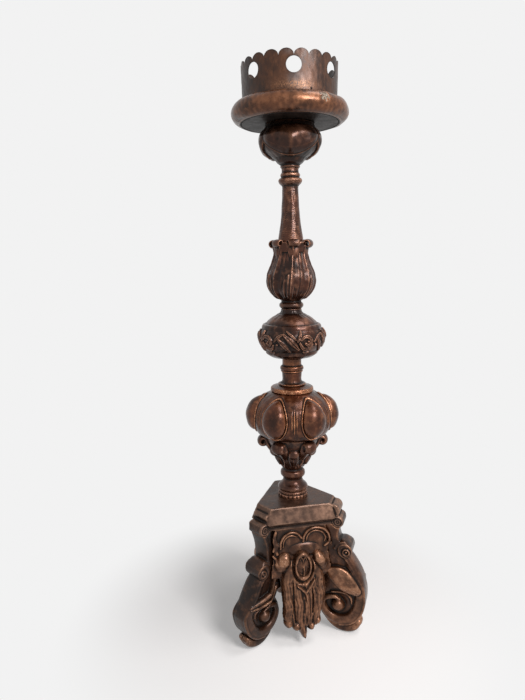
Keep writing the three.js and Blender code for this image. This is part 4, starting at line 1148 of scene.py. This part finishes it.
class Field:
    """A solid as numbers on a grid, above 0 inside. Its axes are across, out from the stem, and up."""

    def __init__(self, low_corner, high_corner, cell=0.9):
        self.low = np.array(low_corner, float)
        self.cell = cell
        counts = np.ceil((np.array(high_corner) - self.low) / cell).astype(int) + 1
        across, out, up = (self.low[k] + cell * np.arange(counts[k], dtype=np.float32) for k in range(3))
        self.across = across[:, None, None]
        self.out = out[None, :, None]
        self.up = up[None, None, :]
        self.value = np.full(counts, -99, np.float32)

    def add(self, other, blend=1.5):
        self.value = soft_max(self.value, other, blend).astype(np.float32)

    def keep(self, other, blend=0.0):
        self.value = soft_min(self.value, other, blend).astype(np.float32)

    def side_view(self):
        """Grids of (out, up), for what looks the same all the way across."""
        return np.broadcast_arrays(self.out[0], self.up[0])

    def front_view(self):
        """Grids of (across, up), for what is carved on a face."""
        return np.broadcast_arrays(self.across[:, 0, :], self.up[:, 0, :])

    def stroke(self, points, half_depth, centre=0.0, power=2.6):
        """A bar along a path seen from the side. Points are (out, up, half width)."""
        path = spaced(curve(points), 1.5)
        far, share = nearest(*self.side_view(), path[:, :2])
        wide, deep = along(path[:, 2], share), along(half_depth, share)
        size = np.minimum(wide, deep)
        reach = (far / wide)[None] ** power + np.abs((self.across - centre) / deep[None]) ** power
        return size[None] * (1 - reach ** (1 / power))

    def surface(self, name):
        """The skin where the numbers cross 0, with one point in each grid cell that it passes."""
        shape = np.array(self.value.shape)
        hits = np.zeros(shape - 1, np.float32)
        sums = [np.zeros(shape - 1, np.float32) for _ in range(3)]
        crossings = []
        for axis in range(3):
            order = (axis, (axis + 1) % 3, (axis + 2) % 3)
            value = self.value.transpose(order)
            near, beyond = value[:-1], value[1:]
            crosses = (near > 0) != (beyond > 0)
            share = np.where(crosses, near / np.where(crosses, near - beyond, 1), 0)
            crossings.append((order, crosses, near > 0))
            steps = np.ix_(*(np.arange(size, dtype=np.float32) for size in crosses.shape))
            for dj in (0, 1):
                for dk in (0, 1):
                    last_j, last_k = value.shape[1] - 1 + dj, value.shape[2] - 1 + dk
                    window = (slice(None), slice(dj, last_j), slice(dk, last_k))
                    here = crosses[window]
                    hits.transpose(order)[...] += here
                    sums[order[0]].transpose(order)[...] += here * (steps[0] + share[window])
                    sums[order[1]].transpose(order)[...] += here * steps[1][:, window[1]]
                    sums[order[2]].transpose(order)[...] += here * steps[2][:, :, window[2]]
        active = hits > 0
        numbers = np.full(active.shape, -1, np.int64)
        numbers[active] = np.arange(active.sum())
        points = np.stack([self.low[k] + self.cell * sums[k][active] / hits[active] for k in range(3)], 1)
        quads = []
        for order, crosses, solid_first in crossings:
            ids = numbers.transpose(order)
            inner = (slice(None), slice(1, -1), slice(1, -1))
            here, forward = crosses[inner], solid_first[inner]
            corners = (ids[:, :-1, :-1], ids[:, 1:, :-1], ids[:, 1:, 1:], ids[:, :-1, 1:])
            faces = np.stack([corner[here] for corner in corners], 1)
            ahead = forward[here]
            quads.append(faces[ahead][:, ::-1])
            quads.append(faces[~ahead])
        points[:, 1] *= -1
        return new_object(name, points, np.concatenate(quads))


def copies_around(made, azimuths):
    """The object turned to each azimuth, the first one included."""
    turned = {}
    for name, azimuth in azimuths.items():
        other = made.copy()
        other.data = made.data.copy()
        bpy.context.scene.collection.objects.link(other)
        other.data.transform(Matrix.Rotation(math.radians(azimuth), 4, "Z"))
        turned[name] = other
    bpy.data.objects.remove(made)
    return turned


# ---------------------------------------------------------------- legs and their pads

CAP_BOTTOM = high("base_core").z + SEAT_GAP
CAP_ROLL_REACH = 86.5
CAP_ROLL_HEIGHT = CAP_BOTTOM + 4.5
CAP_ROLL_RADIUS = 11
CAP_HUMP_REACH = 79
CAP_HUMP_HEIGHT = CAP_BOTTOM + 25
CAP_HUMPS = {60: 11.5, 180: 7, -60: 5}
FOOT_EYE = (87.6, 54.8)
EYE_RADIUS = 13.4
SHOULDER = (100, 165)


def leg_fields():
    """A scroll console and the pad under it, seen from the side with the stem on the left."""
    leg = Field((-27, 40, -2), (27, 141, 216))
    out, up = leg.side_view()
    across, deep = leg.across, np.abs(leg.across)
    body = curve(
        [(60, 79), (53.5, 65.6), (51.5, 50), (57, 33.2), (70, 20.5), (90, 16), (110, 20.4), (125.5, 33),
         (134.2, 50), (136.8, 70), (133, 93), (122.6, 114.3), (108.6, 137.5), (98, 152), (91.6, 177),
         (86.5, 194), (90, 206.4), (91.6, 216)], 6,
    )
    body = np.vstack([body, [(46.3, 216), (46.3, 105)]])
    within = inside(out, up, body)
    web = mix(13.5, 7.5, np.exp(-((np.hypot(out - FOOT_EYE[0] + 6, up - FOOT_EYE[1]) / 24) ** 4)))
    web = web + 3 * eased(up, 120, 150)
    leg.value = soft_min(within[None], web[None] - deep, 3).astype(np.float32)

    strap = [
        (95, 158, 5), (105, 146, 8), (115, 129, 9.5), (123.6, 110, 10.2), (127.4, 90, 10.3), (127, 68, 10.6),
        (121.4, 47, 11.6), (109.5, 31.5, 11.6), (92, 26, 10.6), (75.5, 30, 9.2), (63.6, 41, 7.6),
        (59, 53, 6.6), (62, 64, 6.2), (71, 69, 6), (81, 70, 5), (90, 66, 3.4),
    ]
    depth = [15.5, 17.5, 18.6, 18.6, 18.8, 18.8, 18.8, 18.8, 18.6, 18.4, 18, 17.5, 17, 16.5]
    leg.add(leg.stroke(strap, depth, power=3.2), 2.0)
    rim = [
        (96.5, 155, 2.6), (109.5, 139, 3), (122.5, 116.5, 3), (133, 94, 3), (135.2, 70, 2.6), (132, 51, 2.8),
        (124, 34.6, 2.8), (110, 22.5, 2.8), (92, 18, 2.6),
    ]
    for side in (-1, 1):
        leg.add(leg.stroke(rim, 3, 15.4 * side, 2), 1.2)
    eye_reach = np.hypot(out - FOOT_EYE[0], up - FOOT_EYE[1])
    eye = EYE_RADIUS * (1 - ((eye_reach / EYE_RADIUS)[None] ** 2.4 + (deep / 22.4) ** 2.4) ** (1 / 2.4))
    leg.add(eye, 1.5)
    under_wing = [(76, 80, 3), (90, 81.5, 4.2), (103, 80, 4.6), (111.5, 72, 4.4), (113, 62, 3)]
    leg.add(leg.stroke(under_wing, 16.5, power=2.2), 1.6)

    near_wing = curve(
        [(64, 127.5), (84.7, 133), (101.1, 129.8), (114.5, 118), (125.5, 102), (130.8, 90), (124, 81.5),
         (110.5, 83), (94.1, 88), (81.1, 99.4), (70, 112.5), (64, 127.5)], 5,
    )[:-1]
    reach_in = inside(out, up, near_wing)
    lifted_edge = 1.6 * bell(nearest(out, up, near_wing[:8])[0], 3.2)
    pillow = 18 + 6.6 * rounded(reach_in, 13) + lifted_edge + 0.4 * waves(out, up, 201, 15)
    leg.add(np.where(across < 0, soft_min(1.1 * reach_in[None], pillow[None] - deep, 2), -99), 1.0)

    far_wing = curve(
        [(41, 134), (70, 127), (98, 119), (126, 112.5), (134.6, 104), (126, 90), (104, 83), (80, 88),
         (60, 96), (41, 104), (41, 134)], 5,
    )[:-1]
    reach_in = inside(out, up, far_wing)
    leaf = 17.4 + 1.5 * rounded(reach_in, 6)
    for path in (
        [(40, 127), (72, 120), (104, 111.5), (131, 104.5)],
        [(42, 109), (78, 99), (104, 93), (128, 95)],
    ):
        leaf = np.maximum(leaf, 17.4 + ridge(out, up, curve(path), [5, 6.4, 6, 4], [5, 6.6, 6.4, 3]))
    leaf = leaf - ridge(out, up, curve([(62, 111), (86, 105), (112, 100)]), [1, 2, 1], 1.6)
    leg.add(np.where(across > 0, soft_min(1.1 * reach_in[None], leaf[None] - deep, 2), -99), 1.0)

    roll_reach = np.hypot(out - SHOULDER[0], up - SHOULDER[1])
    eye_ring = np.hypot(out - 102.4, up - 162.6)
    half_length = 19.4 + 1.3 * bell(eye_ring - 5.6, 1.6) - 1.8 * bell(eye_ring - 2.8, 1.3)
    half_length = half_length + 1.4 * bell(eye_ring, 1.9) - 1.6 * bell(eye_ring - 8.6, 1.4)
    roll = soft_min(13.2 - roll_reach[None] + 0 * deep, half_length[None] - deep, 2.2)
    leg.add(roll, 1.5)
    lip = [(82, 168, 4), (89, 176.5, 5), (99, 178.5, 4.4), (109, 172, 3)]
    leg.add(leg.stroke(lip, 18, power=3), 1.5)
    neck = [(86, 208, 5), (82.5, 194, 6), (84, 180, 7), (88, 170, 6)]
    leg.add(leg.stroke(neck, 15.5, power=3), 2)
    for k in range(11):
        share = k / 10
        bead_out, bead_up = mix(120, 134.6, share**0.8), mix(122, 92, share)
        bead = 2.6 - np.sqrt(((out - bead_out) ** 2 + (up - bead_up) ** 2)[None] + (across * 0.34) ** 2)
        leg.add(bead, 0.8)

    cap_roll = CAP_ROLL_RADIUS + SEAT_GAP - np.hypot(out - CAP_ROLL_REACH, up - CAP_ROLL_HEIGHT)
    leg.keep(-cap_roll[None], 0)
    leg.keep(CAP_BOTTOM - SEAT_GAP - up[None], 0)
    leg.keep(up[None] - 9, 0)

    pad = Field((-27, 40, -2), (27, 141, 40))
    heel = [(66, 22, 4.5), (76, 15, 6.5), (90, 9.6, 8.6), (104, 8.8, 8.8), (116, 13, 9), (124.5, 22.5, 7)]
    pad.value = pad.stroke(heel, [9, 12, 13.6, 14.4, 14, 12], power=2.6).astype(np.float32)
    out, up = pad.side_view()
    toe_groove = 1.2 * arch(np.maximum(np.abs(pad.across) - 0.1, 0) / 1.4)
    pad.value = pad.value - toe_groove * eased(out, 100, 112)[None]
    pad.keep(up[None], 1.2)
    matching = leg.value[:, :, : pad.value.shape[2]]
    pad.keep(-matching - SEAT_GAP, 0)
    return leg, pad


LEFT_DROOP = 24
LEFT_DRAWN_IN = 9


def droop_left(obj):
    """The left leg was carved with its shoulder and leaf lower, and less far out, than the others."""
    azimuth = LEG_AZIMUTHS["left"]
    points = turn(coordinates(obj.data) / MM, -azimuth)
    out, up = -points[:, 1], points[:, 2]
    top = 1 - eased(up, 178, 207)
    points[:, 1] = points[:, 1] + LEFT_DRAWN_IN * eased(out, 66, 92) * eased(up, 66, 112) * top
    points[:, 2] = up - LEFT_DROOP * eased(out, 66, 90) * eased(up, 56, 128) * top
    obj.data.vertices.foreach_set("co", (turn(points, azimuth) * MM).astype(np.float32).ravel())
    obj.data.update()


# The left leg and pad take the darker copy of the base paint as painted shade.
LEG_PAINTS = {"right": BASE_PAINT, "rear": BASE_PAINT, "left": SHADED_LEFT_LEG_PAINT}


def legs_and_pads():
    """Three legs and the pads under their foot scrolls, made once and turned round the stem."""
    leg, pad = leg_fields()
    whole = leg.surface("leg")
    relax(whole, 2)
    points = coordinates(whole.data) / MM
    edge = bell(points[:, 2] - 132 + 0.75 * np.clip(-points[:, 1] - 100, 0, 40), 5)
    wing_height = (points[:, 2] > 78) * (points[:, 2] < 140)
    wing = (np.abs(points[:, 0]) > 19.6) * eased(-points[:, 1], 62, 70) * wing_height
    volute = eased(np.abs(points[:, 0]), 14, 18) * (points[:, 2] < 100)
    mark_points(whole, "wear_and_highlight", np.clip(0.75 * wing + 0.3 * volute + 0.2 * wing * edge, 0, 1))
    for name, obj in copies_around(whole, LEG_AZIMUTHS).items():
        if name == "left":
            droop_left(obj)
        dress(obj, f"leg_{name}", LEG_PAINTS[name])
    foot = pad.surface("pad")
    relax(foot, 2)
    points = coordinates(foot.data) / MM
    mark_points(foot, "wear_and_highlight", 0.8 * eased(-points[:, 1], 104, 116) * eased(points[:, 2], 4, 12))
    for name, obj in copies_around(foot, LEG_AZIMUTHS).items():
        dress(obj, f"foot_pad_{name}", LEG_PAINTS[name])


# ---------------------------------------------------------------- panels and hanging leaves

PANEL_FOOT = 64
PANEL_TOP_REACH = 50
PANEL_FOOT_REACH = 62
CORE_REACH = 34
BAY_POINT = 22.46
BORE_RADIUS = 13.4


def panel_face(up):
    share = np.clip((CAP_BOTTOM - up) / (CAP_BOTTOM - PANEL_FOOT), 0, None)
    return mix(PANEL_TOP_REACH, PANEL_FOOT_REACH, share**1.6)


def bay(field):
    """Distance in from the flanks of the two legs beside a panel."""
    half_angle = math.radians(60)
    return math.cos(half_angle) * (math.tan(half_angle) * (field.out - BAY_POINT) - np.abs(field.across))


def panels():
    """Side panels, each with a pair of arched scrolls in double lines under the cap."""
    panel = Field((-72, 33, 62), (72, 66, 216))
    u, v = panel.front_view()
    relief = 0.4 * waves(u, v, 301, 22)
    for arch, inner in (
        ([(-38, 178), (-37, 190), (-30, 201), (-18, 206), (-7, 203), (1, 194)],
         [(-33, 180), (-31.5, 190), (-25, 198), (-16, 200), (-8, 196.5)]),
        ([(4, 187), (6, 198), (15, 208), (29, 210.5), (43, 206), (52, 194), (52, 182), (44, 175)],
         [(10, 188), (12.5, 197), (20, 203.5), (30, 204.5), (40, 200), (45.5, 191), (44, 183)]),
    ):
        relief = np.maximum(relief, ridge(u, v, curve(arch), [2.4, 2.9, 2.9, 2.4], 4.6))
        relief = np.maximum(relief, ridge(u, v, curve(inner), [1.4, 1.9, 1.9, 1.2], 3.0))
    for centre, half_u, half_v in (((-20, 189), 11.5, 9), ((29, 191), 13.5, 10.5)):
        relief = relief - dome(u, v, centre, half_u, half_v, 3.4, power=0.8)
    relief = relief + dome(u, v, (6, 172), 30, 13, 5, power=0.7) + dome(u, v, (31, 186), 6, 5, 3, power=0.6)
    for path, width, height in (
        ([(-46, 208), (-49, 196), (-46, 184), (-51, 175)], [3, 5, 5, 3], 3.2),
        ([(-40, 186), (-46, 178), (-44, 168)], [3, 4.4, 3], 2.8),
        ([(57, 206), (58, 192), (56, 178), (61, 164)], [2, 3.4, 3.4, 2], 4.5),
        ([(-52, 166), (-46, 158), (-47, 146)], [2, 3.6, 2], 4),
    ):
        relief = soft_max(relief, ridge(u, v, curve(path), width, height), 1)
    relief = relief * eased(v, 64, 70)
    flank = eased(np.abs(u), 27, 35)
    face = (panel_face(v) + relief - 9 * flank * (1 - eased(v, 110, 128)))[:, None, :]
    panel.value = soft_min(face - panel.out, panel.out - CORE_REACH - SEAT_GAP, 0.6).astype(np.float32)
    panel.keep(bay(panel) - SEAT_GAP, 0)
    panel.keep(CAP_BOTTOM - SEAT_GAP - panel.up, 0)
    corner_cut = 22 * eased(u, 27, 35) + 58 * eased(-u, 28, 42)
    panel.keep(panel.up - PANEL_FOOT - corner_cut[:, :1, None], 0.5)
    whole = panel.surface("panel")
    relax(whole, 2)
    mark_points(whole, "wear_and_highlight", np.full(len(whole.data.vertices), 0.1))
    for name, obj in copies_around(whole, FACE_AZIMUTHS).items():
        dress(obj, f"panel_{name}", BASE_PAINT)


def swell(distance, radius, height):
    """A pillow of that height over what lies inside an outline."""
    return height * rounded(distance, radius) + np.minimum(distance, 0)


def over(u, v, points, height):
    """A round ridge over (u, v, half width) points, falling away below 0 outside it."""
    path = spaced(curve(points), 1.5)
    far, share = nearest(u, v, path[:, :2])
    wide = along(path[:, 2], share)
    return along(height, share) * arch(far / wide) - np.maximum(far - wide, 0)


def leaf_drops():
    """The hanging leaf on each face: long folds under an oval boss between two pods."""
    drop = Field((-54, 46, 12), (54, 84, 178), 0.85)
    u, v = drop.front_view()
    outline = curve(
        [(-14, 158), (-25, 146), (-31, 126), (-34, 100), (-35.5, 70), (-36.5, 50), (-34, 41), (-26, 38),
         (-20, 32), (-12, 36), (-6, 26), (-1, 20), (4, 27), (10, 33), (16, 30), (22, 38), (29, 40),
         (33, 56), (40, 76), (43.5, 100), (39, 128), (27, 148), (14, 158)], 5,
    )
    body = swell(inside(u, v, outline), 10, 11)
    folds = [
        ([(-17, 152, 6), (-27, 130, 9), (-29, 102, 10), (-28, 76, 9.6), (-30, 56, 8.6), (-27, 43, 6)],
         [11, 12.8, 13.6, 13.2, 14, 13]),
        ([(-4, 118, 5), (-10, 98, 7.6), (-9, 74, 8.4), (-9, 52, 8), (-5, 34, 7), (-1.5, 20, 5)],
         [11, 13.6, 14.2, 13.8, 14.8, 15.5]),
        ([(6, 112, 4), (7, 92, 6), (6, 72, 6.6), (8, 52, 7), (10, 36, 5)], [12, 13.4, 13.6, 13.4, 13]),
        ([(18, 148, 6), (29, 128, 9), (31, 102, 10.6), (28, 78, 10), (22, 56, 9), (20, 40, 6)],
         [11, 13.6, 14.4, 14, 14, 13.4]),
    ]
    height = body
    for points, crest in folds:
        height = soft_max(height, over(u, v, points, crest), 3.2)
    drift = u + 3.0 * np.sin(v / 15) + 1.6 * waves(u, v, 322, 34)
    flutes = 0.55 * np.cos(2 * math.pi * drift / 6.4) + 0.25 * np.cos(2 * math.pi * drift / 2.9)
    height = height + flutes * eased(height, 9, 12) * (1 - eased(v, 118, 134))
    for points in (
        [(-18.6, 118, 1), (-19, 92, 2), (-18.4, 66, 2), (-17, 46, 1.4)],
        [(16.4, 104, 1), (17, 82, 1.8), (15, 60, 1.6)],
    ):
        height = height - np.maximum(over(u, v, points, 3.0), 0)
    for points in (
        [(-11, 112, 2.6), (-3, 105, 4.2), (4, 96, 4), (5, 82, 2)],
        [(20, 121, 2.4), (12, 109, 4.2), (4, 99, 3.6)],
    ):
        height = soft_max(height, over(u, v, points, 16.5), 1.6)
    tips = (((-29, 45), 8.6), ((-15, 38), 8.4), ((-2, 27), 7), ((12, 36), 8), ((24, 45), 7.6))
    for (tip_u, tip_v), wide in tips:
        off = np.hypot(u - tip_u, v - tip_v)
        tip = dome(u, v, (tip_u, tip_v), wide, wide * 1.2, 15.5)
        height = soft_max(height, np.where(off < wide * 1.4, tip, -9), 1.6)
    for centre, half_u, half_v, lean in (((-32.5, 155), 12.2, 15.5, -24), ((34, 151.5), 11.4, 16.5, 30)):
        reach = 1 - np.sqrt(np.clip(1 - dome(u, v, centre, half_u, half_v, 1, lean, power=1), 0, None))
        pod = 12.5 * np.sqrt(np.clip(1 - (1 - reach) ** 2.2, 0, 1))
        off = np.hypot(u - centre[0], v - centre[1])
        height = soft_max(height, np.where(reach > 0, pod, -np.minimum(off, 3)), 0.8)
        collar = dome(u, v, (centre[0] * 1.12, centre[1] - 9), half_u * 1.15, half_v * 0.8, 9, lean)
        height = soft_max(height, np.where(collar > 0, collar, -3), 0.8)
    oval = np.hypot(u - 0.5, (v - 146) * 17 / 27.5)
    boss = 8 + 7.0 * arch((oval - 13.6) / 2.8)
    dish = 10.5 + 3.0 * np.clip(1 - oval / 12, 0, 1)
    inner = np.where(oval < 10.5, dish, boss)
    for points, crest in (
        ([(-6, 158, 1.6), (-2.5, 163, 2.4), (0.5, 156, 2), (0.5, 150, 1.4)], 14.5),
        ([(7, 157, 1.6), (4, 163, 2.2), (0.5, 158, 2)], 14.5),
        ([(-5.5, 150, 1.4), (-6.5, 143, 2), (-4, 136, 1.6)], 12.5),
        ([(6, 149, 1.4), (7, 142, 2), (4, 134, 1.6)], 12.5),
        ([(0.8, 146, 1.8), (1.6, 139, 3.6), (0.6, 130, 2)], 15),
    ):
        inner = np.where(oval < 12, soft_max(inner, over(u, v, points, crest), 0.6), inner)
    trench = -5.0 * bell(oval - 18.6, 1.5)
    height = np.where(oval < 16.8, np.maximum(inner, 6), height + trench * (oval < 22))
    height = height + 0.3 * waves(u, v, 321, 10) * (height > 1)
    back = panel_face(v) + SEAT_GAP
    front = (back + height)[:, None, :]
    drop.value = np.minimum(front - drop.out, drop.out - back[:, None, :]).astype(np.float32)
    drop.keep(bay(drop) - SEAT_GAP, 0)
    whole = drop.surface("drop")
    relax(whole, 2)
    points = coordinates(whole.data) / MM
    pods = eased(np.abs(points[:, 0]), 22, 28) * eased(points[:, 2], 146, 152)
    gold = eased(points[:, 2], 30, 60) * (1 - eased(points[:, 2], 124, 134))
    mark_points(whole, "wear_and_highlight", np.clip(0.9 * pods + 0.35 * gold + 0.2, 0, 1))
    for name, obj in copies_around(whole, FACE_AZIMUTHS).items():
        dress(obj, f"leaf_drop_{name}", BASE_PAINT)


# ---------------------------------------------------------------- cap and core

def three_way(field, azimuths):
    """How far each grid point lies out along each azimuth."""
    x, y = field.across, -field.out
    return [x * math.sin(math.radians(a)) - y * math.cos(math.radians(a)) for a in azimuths]


def base_cap():
    """A three-sided plate with a splayed edge, whose cut corners run down into small rolls."""
    cap = Field((-90, -92, CAP_BOTTOM - 8.5), (90, 102, CAP_TOP + 1), 0.95)
    up = cap.up
    heights = [CAP_BOTTOM + rise for rise in (0, 6, 11.5, 14, 15.4)] + [CAP_TOP - 6, CAP_TOP - 2.4, CAP_TOP]
    faces = [53.7, 53.8, 58.6, 60.9, 60.6, 53.6, 52.6, 51.8]
    corners = [76, 76.2, 80.8, 83.1, 82.9, 75.6, 74.2, 73]
    face, corner = np.interp(up, heights, faces), np.interp(up, heights, corners)
    value = np.minimum(up - CAP_BOTTOM, CAP_TOP - up) + 0 * cap.across + 0 * cap.out
    wear = 0.5 * waves(cap.across, cap.out, 401, 34)
    for reach in three_way(cap, FACE_AZIMUTHS.values()):
        value = soft_min(value, (face - reach) * 0.93 + 0.3 * wear, 1.6)
    for reach in three_way(cap, LEG_AZIMUTHS.values()):
        value = soft_min(value, (corner - reach) * 0.93, 1.6)
    cap.value = value.astype(np.float32)
    for azimuth in LEG_AZIMUTHS.values():
        out, = three_way(cap, [azimuth])
        side, = three_way(cap, [azimuth + 90])
        side = np.abs(side)
        axle = np.hypot(out - CAP_ROLL_REACH, up - CAP_ROLL_HEIGHT)
        rings = 17.4 + 0.55 * np.cos(2 * math.pi * axle / 4.4) - 1.2 * eased(axle, 8.5, 11)
        cap.add(soft_min(CAP_ROLL_RADIUS - axle + 0 * side, rings - side, 1.6), 3.2)
        hump = CAP_HUMPS[azimuth] - np.hypot(out - CAP_HUMP_REACH, up - CAP_HUMP_HEIGHT)
        cap.add(soft_min(hump + 0 * side, 17 - side, 2.5), 4.0)
    bore = BORE_RADIUS - np.hypot(cap.across, cap.out)
    cap.keep(-bore, 0.4)
    whole = cap.surface("cap")
    relax(whole, 2)
    points = coordinates(whole.data) / MM
    azimuth = np.degrees(np.arctan2(points[:, 0], -points[:, 1]))
    fascia = (points[:, 2] > CAP_BOTTOM + 12) * (points[:, 2] < CAP_TOP - 0.8)
    # The fascia's light mark is wear all along it and, at its right end towards the lamps, a painted
    # highlight.
    highlit_right_end = eased(azimuth, 22, 44) * (1 - eased(azimuth, 66, 84))
    mark_points(whole, "wear_and_highlight", fascia * (0.38 + 0.5 * highlit_right_end))
    dress(whole, "base_cap", CAP_PAINT)


def base_core():
    """The block that the legs and panels stand against."""
    core = Field((-48, -42, 94), (48, 54, CAP_BOTTOM + 1), 1.2)
    up = core.up
    value = np.minimum(up - low("base_core").z, CAP_BOTTOM - SEAT_GAP - up) + 0 * core.across + 0 * core.out
    for reach in three_way(core, FACE_AZIMUTHS.values()):
        value = soft_min(value, CORE_REACH - reach, 1.5)
    for reach in three_way(core, LEG_AZIMUTHS.values()):
        value = soft_min(value, 45.9 - reach, 1.5)
    core.value = value.astype(np.float32)
    core.keep(-np.minimum(BORE_RADIUS - np.hypot(core.across, core.out), up - 170), 0.5)
    whole = core.surface("core")
    dress(whole, "base_core", BARE_WOOD, hollows=False)


# ---------------------------------------------------------------- camera, floor and light

CAMERA_BACK = 991.2
CAMERA_ASIDE = -51.9
CAMERA_HEIGHT = 690.7
CAMERA_PITCH = 9.4
CAMERA_ROLL = 0.99
CAMERA_LENS = 29.06
BACKGROUND = linear(242, 242, 242)
FLOOR_REACH = 6000
FLOOR_NEAR = 200
FLOOR_FAR = 460
FLOOR_LIFT = 0.31
AROUND = 0.06


def place_camera():
    a, pitch, roll = (math.radians(x) for x in (CAMERA_AZIMUTH, CAMERA_PITCH, CAMERA_ROLL))
    back = np.array([math.sin(a), -math.cos(a), 0])
    right = np.array([math.cos(a), math.sin(a), 0])
    forward = -back * math.cos(pitch) - np.array([0, 0, math.sin(pitch)])
    up = np.cross(right, forward)
    tilted_right = right * math.cos(roll) - up * math.sin(roll)
    tilted_up = up * math.cos(roll) + right * math.sin(roll)
    place = np.array([AXIS_X, AXIS_Y, CAMERA_HEIGHT]) + CAMERA_BACK * back + CAMERA_ASIDE * right
    matrix = np.eye(4)
    matrix[:3] = np.stack([tilted_right, tilted_up, -forward, place * MM], axis=1)
    lens = bpy.data.cameras.new("camera")
    lens.lens = CAMERA_LENS
    lens.sensor_width = 36
    lens.sensor_fit = "AUTO"
    lens.clip_start = 0.05
    lens.clip_end = 30
    made = bpy.data.objects.new("camera", lens)
    made.matrix_world = Matrix(matrix)
    bpy.context.scene.collection.objects.link(made)
    bpy.context.scene.camera = made


LAMP_AIM_HEIGHT = 600


def soft_light(name, azimuth, elevation, distance, size, power, colour):
    """A square lamp aimed at the stem. Azimuths are those of the stand."""
    a, e = math.radians(azimuth), math.radians(elevation)
    away = np.array([math.sin(a) * math.cos(e), -math.cos(a) * math.cos(e), math.sin(e)])
    target = np.array([AXIS_X, AXIS_Y, LAMP_AIM_HEIGHT])
    lamp = bpy.data.lights.new(name, "AREA")
    lamp.shape = "SQUARE"
    lamp.size = size * MM
    lamp.energy = power
    lamp.color = colour
    made = bpy.data.objects.new(name, lamp)
    turned = Matrix([*zip(*basis_towards(away))]).to_4x4()
    turned.translation = (target + distance * away) * MM
    made.matrix_world = turned
    bpy.context.scene.collection.objects.link(made)


def basis_towards(away):
    """Axes of a lamp that lies out along `away` and shines back; the third one is `away`."""
    side = np.cross((0, 0, 1), away)
    side /= np.linalg.norm(side)
    return side, np.cross(away, side), away


def lay_floor():
    """Pale paper. Seen directly it is brighter than its light makes it, so the lamps can stay low."""
    points = [(x * FLOOR_REACH, y * FLOOR_REACH, 0) for x, y in ((-1, -1), (1, -1), (1, 1), (-1, 1))]
    sheet = new_object("floor", points, [[0, 1, 2, 3]])
    p = Paint("floor_paper")
    p.shader.inputs["Base Color"].default_value = (0.85, 0.85, 0.85, 1)
    p.shader.inputs["Roughness"].default_value = 0.95
    p.shader.inputs["Specular IOR Level"].default_value = 0.05
    seen = p.seen()
    lift = p.node("ShaderNodeEmission")
    lift.inputs["Color"].default_value = (1, 1, 1, 1)
    p.link(p.math("MULTIPLY", seen, FLOOR_LIFT), lift.inputs["Strength"])
    near = p.node("ShaderNodeAddShader")
    p.link(p.shader.outputs[0], near.inputs[0])
    p.link(lift.outputs[0], near.inputs[1])
    glow = p.node("ShaderNodeEmission")
    glow.inputs["Color"].default_value = BACKGROUND
    reach = p.node("ShaderNodeVectorMath", operation="LENGTH")
    p.link(p.place, reach.inputs[0])
    far = p.span(reach.outputs["Value"], FLOOR_NEAR * MM, FLOOR_FAR * MM)
    surface = p.mixed(p.math("MULTIPLY", far, seen), near.outputs[0], glow.outputs[0])
    p.link(surface, p.output.inputs["Surface"])
    sheet.data.materials.append(p.material)


def light_world():
    """A dim, even light from all round, in front of the pale background."""
    world = bpy.data.worlds.new("studio")
    bpy.context.scene.world = world
    world.use_nodes = True
    nodes = Nodes(world.node_tree)
    output = nodes.node("ShaderNodeOutputWorld")
    around = nodes.node("ShaderNodeBackground")
    around.inputs["Color"].default_value = (1.0, 0.98, 0.96, 1)
    around.inputs["Strength"].default_value = AROUND
    behind = nodes.node("ShaderNodeBackground")
    behind.inputs["Color"].default_value = BACKGROUND
    nodes.link(nodes.mixed(nodes.seen(), around.outputs[0], behind.outputs[0]), output.inputs["Surface"])


# ---------------------------------------------------------------- the stand

crown_gallery()
crown_tacks()
pricket_spike()
drip_pan()
calyx()
upper_shaft()
leaf_vase()
carved_ball()
neck_spool()
gadrooned_bulb()
lower_baluster()
stem_foot_ring()
base_cap()
base_core()
panels()
leaf_drops()
legs_and_pads()

bpy.context.scene.view_settings.view_transform = "Standard"
place_camera()
lay_floor()
light_world()
soft_light("key", 22, 28, distance=1500, size=600, power=20.7, colour=(1.0, 0.96, 0.95))
soft_light("overhead", 60, 62, distance=1600, size=650, power=9, colour=(1.0, 0.97, 0.96))

bpy.context.view_layer.update()
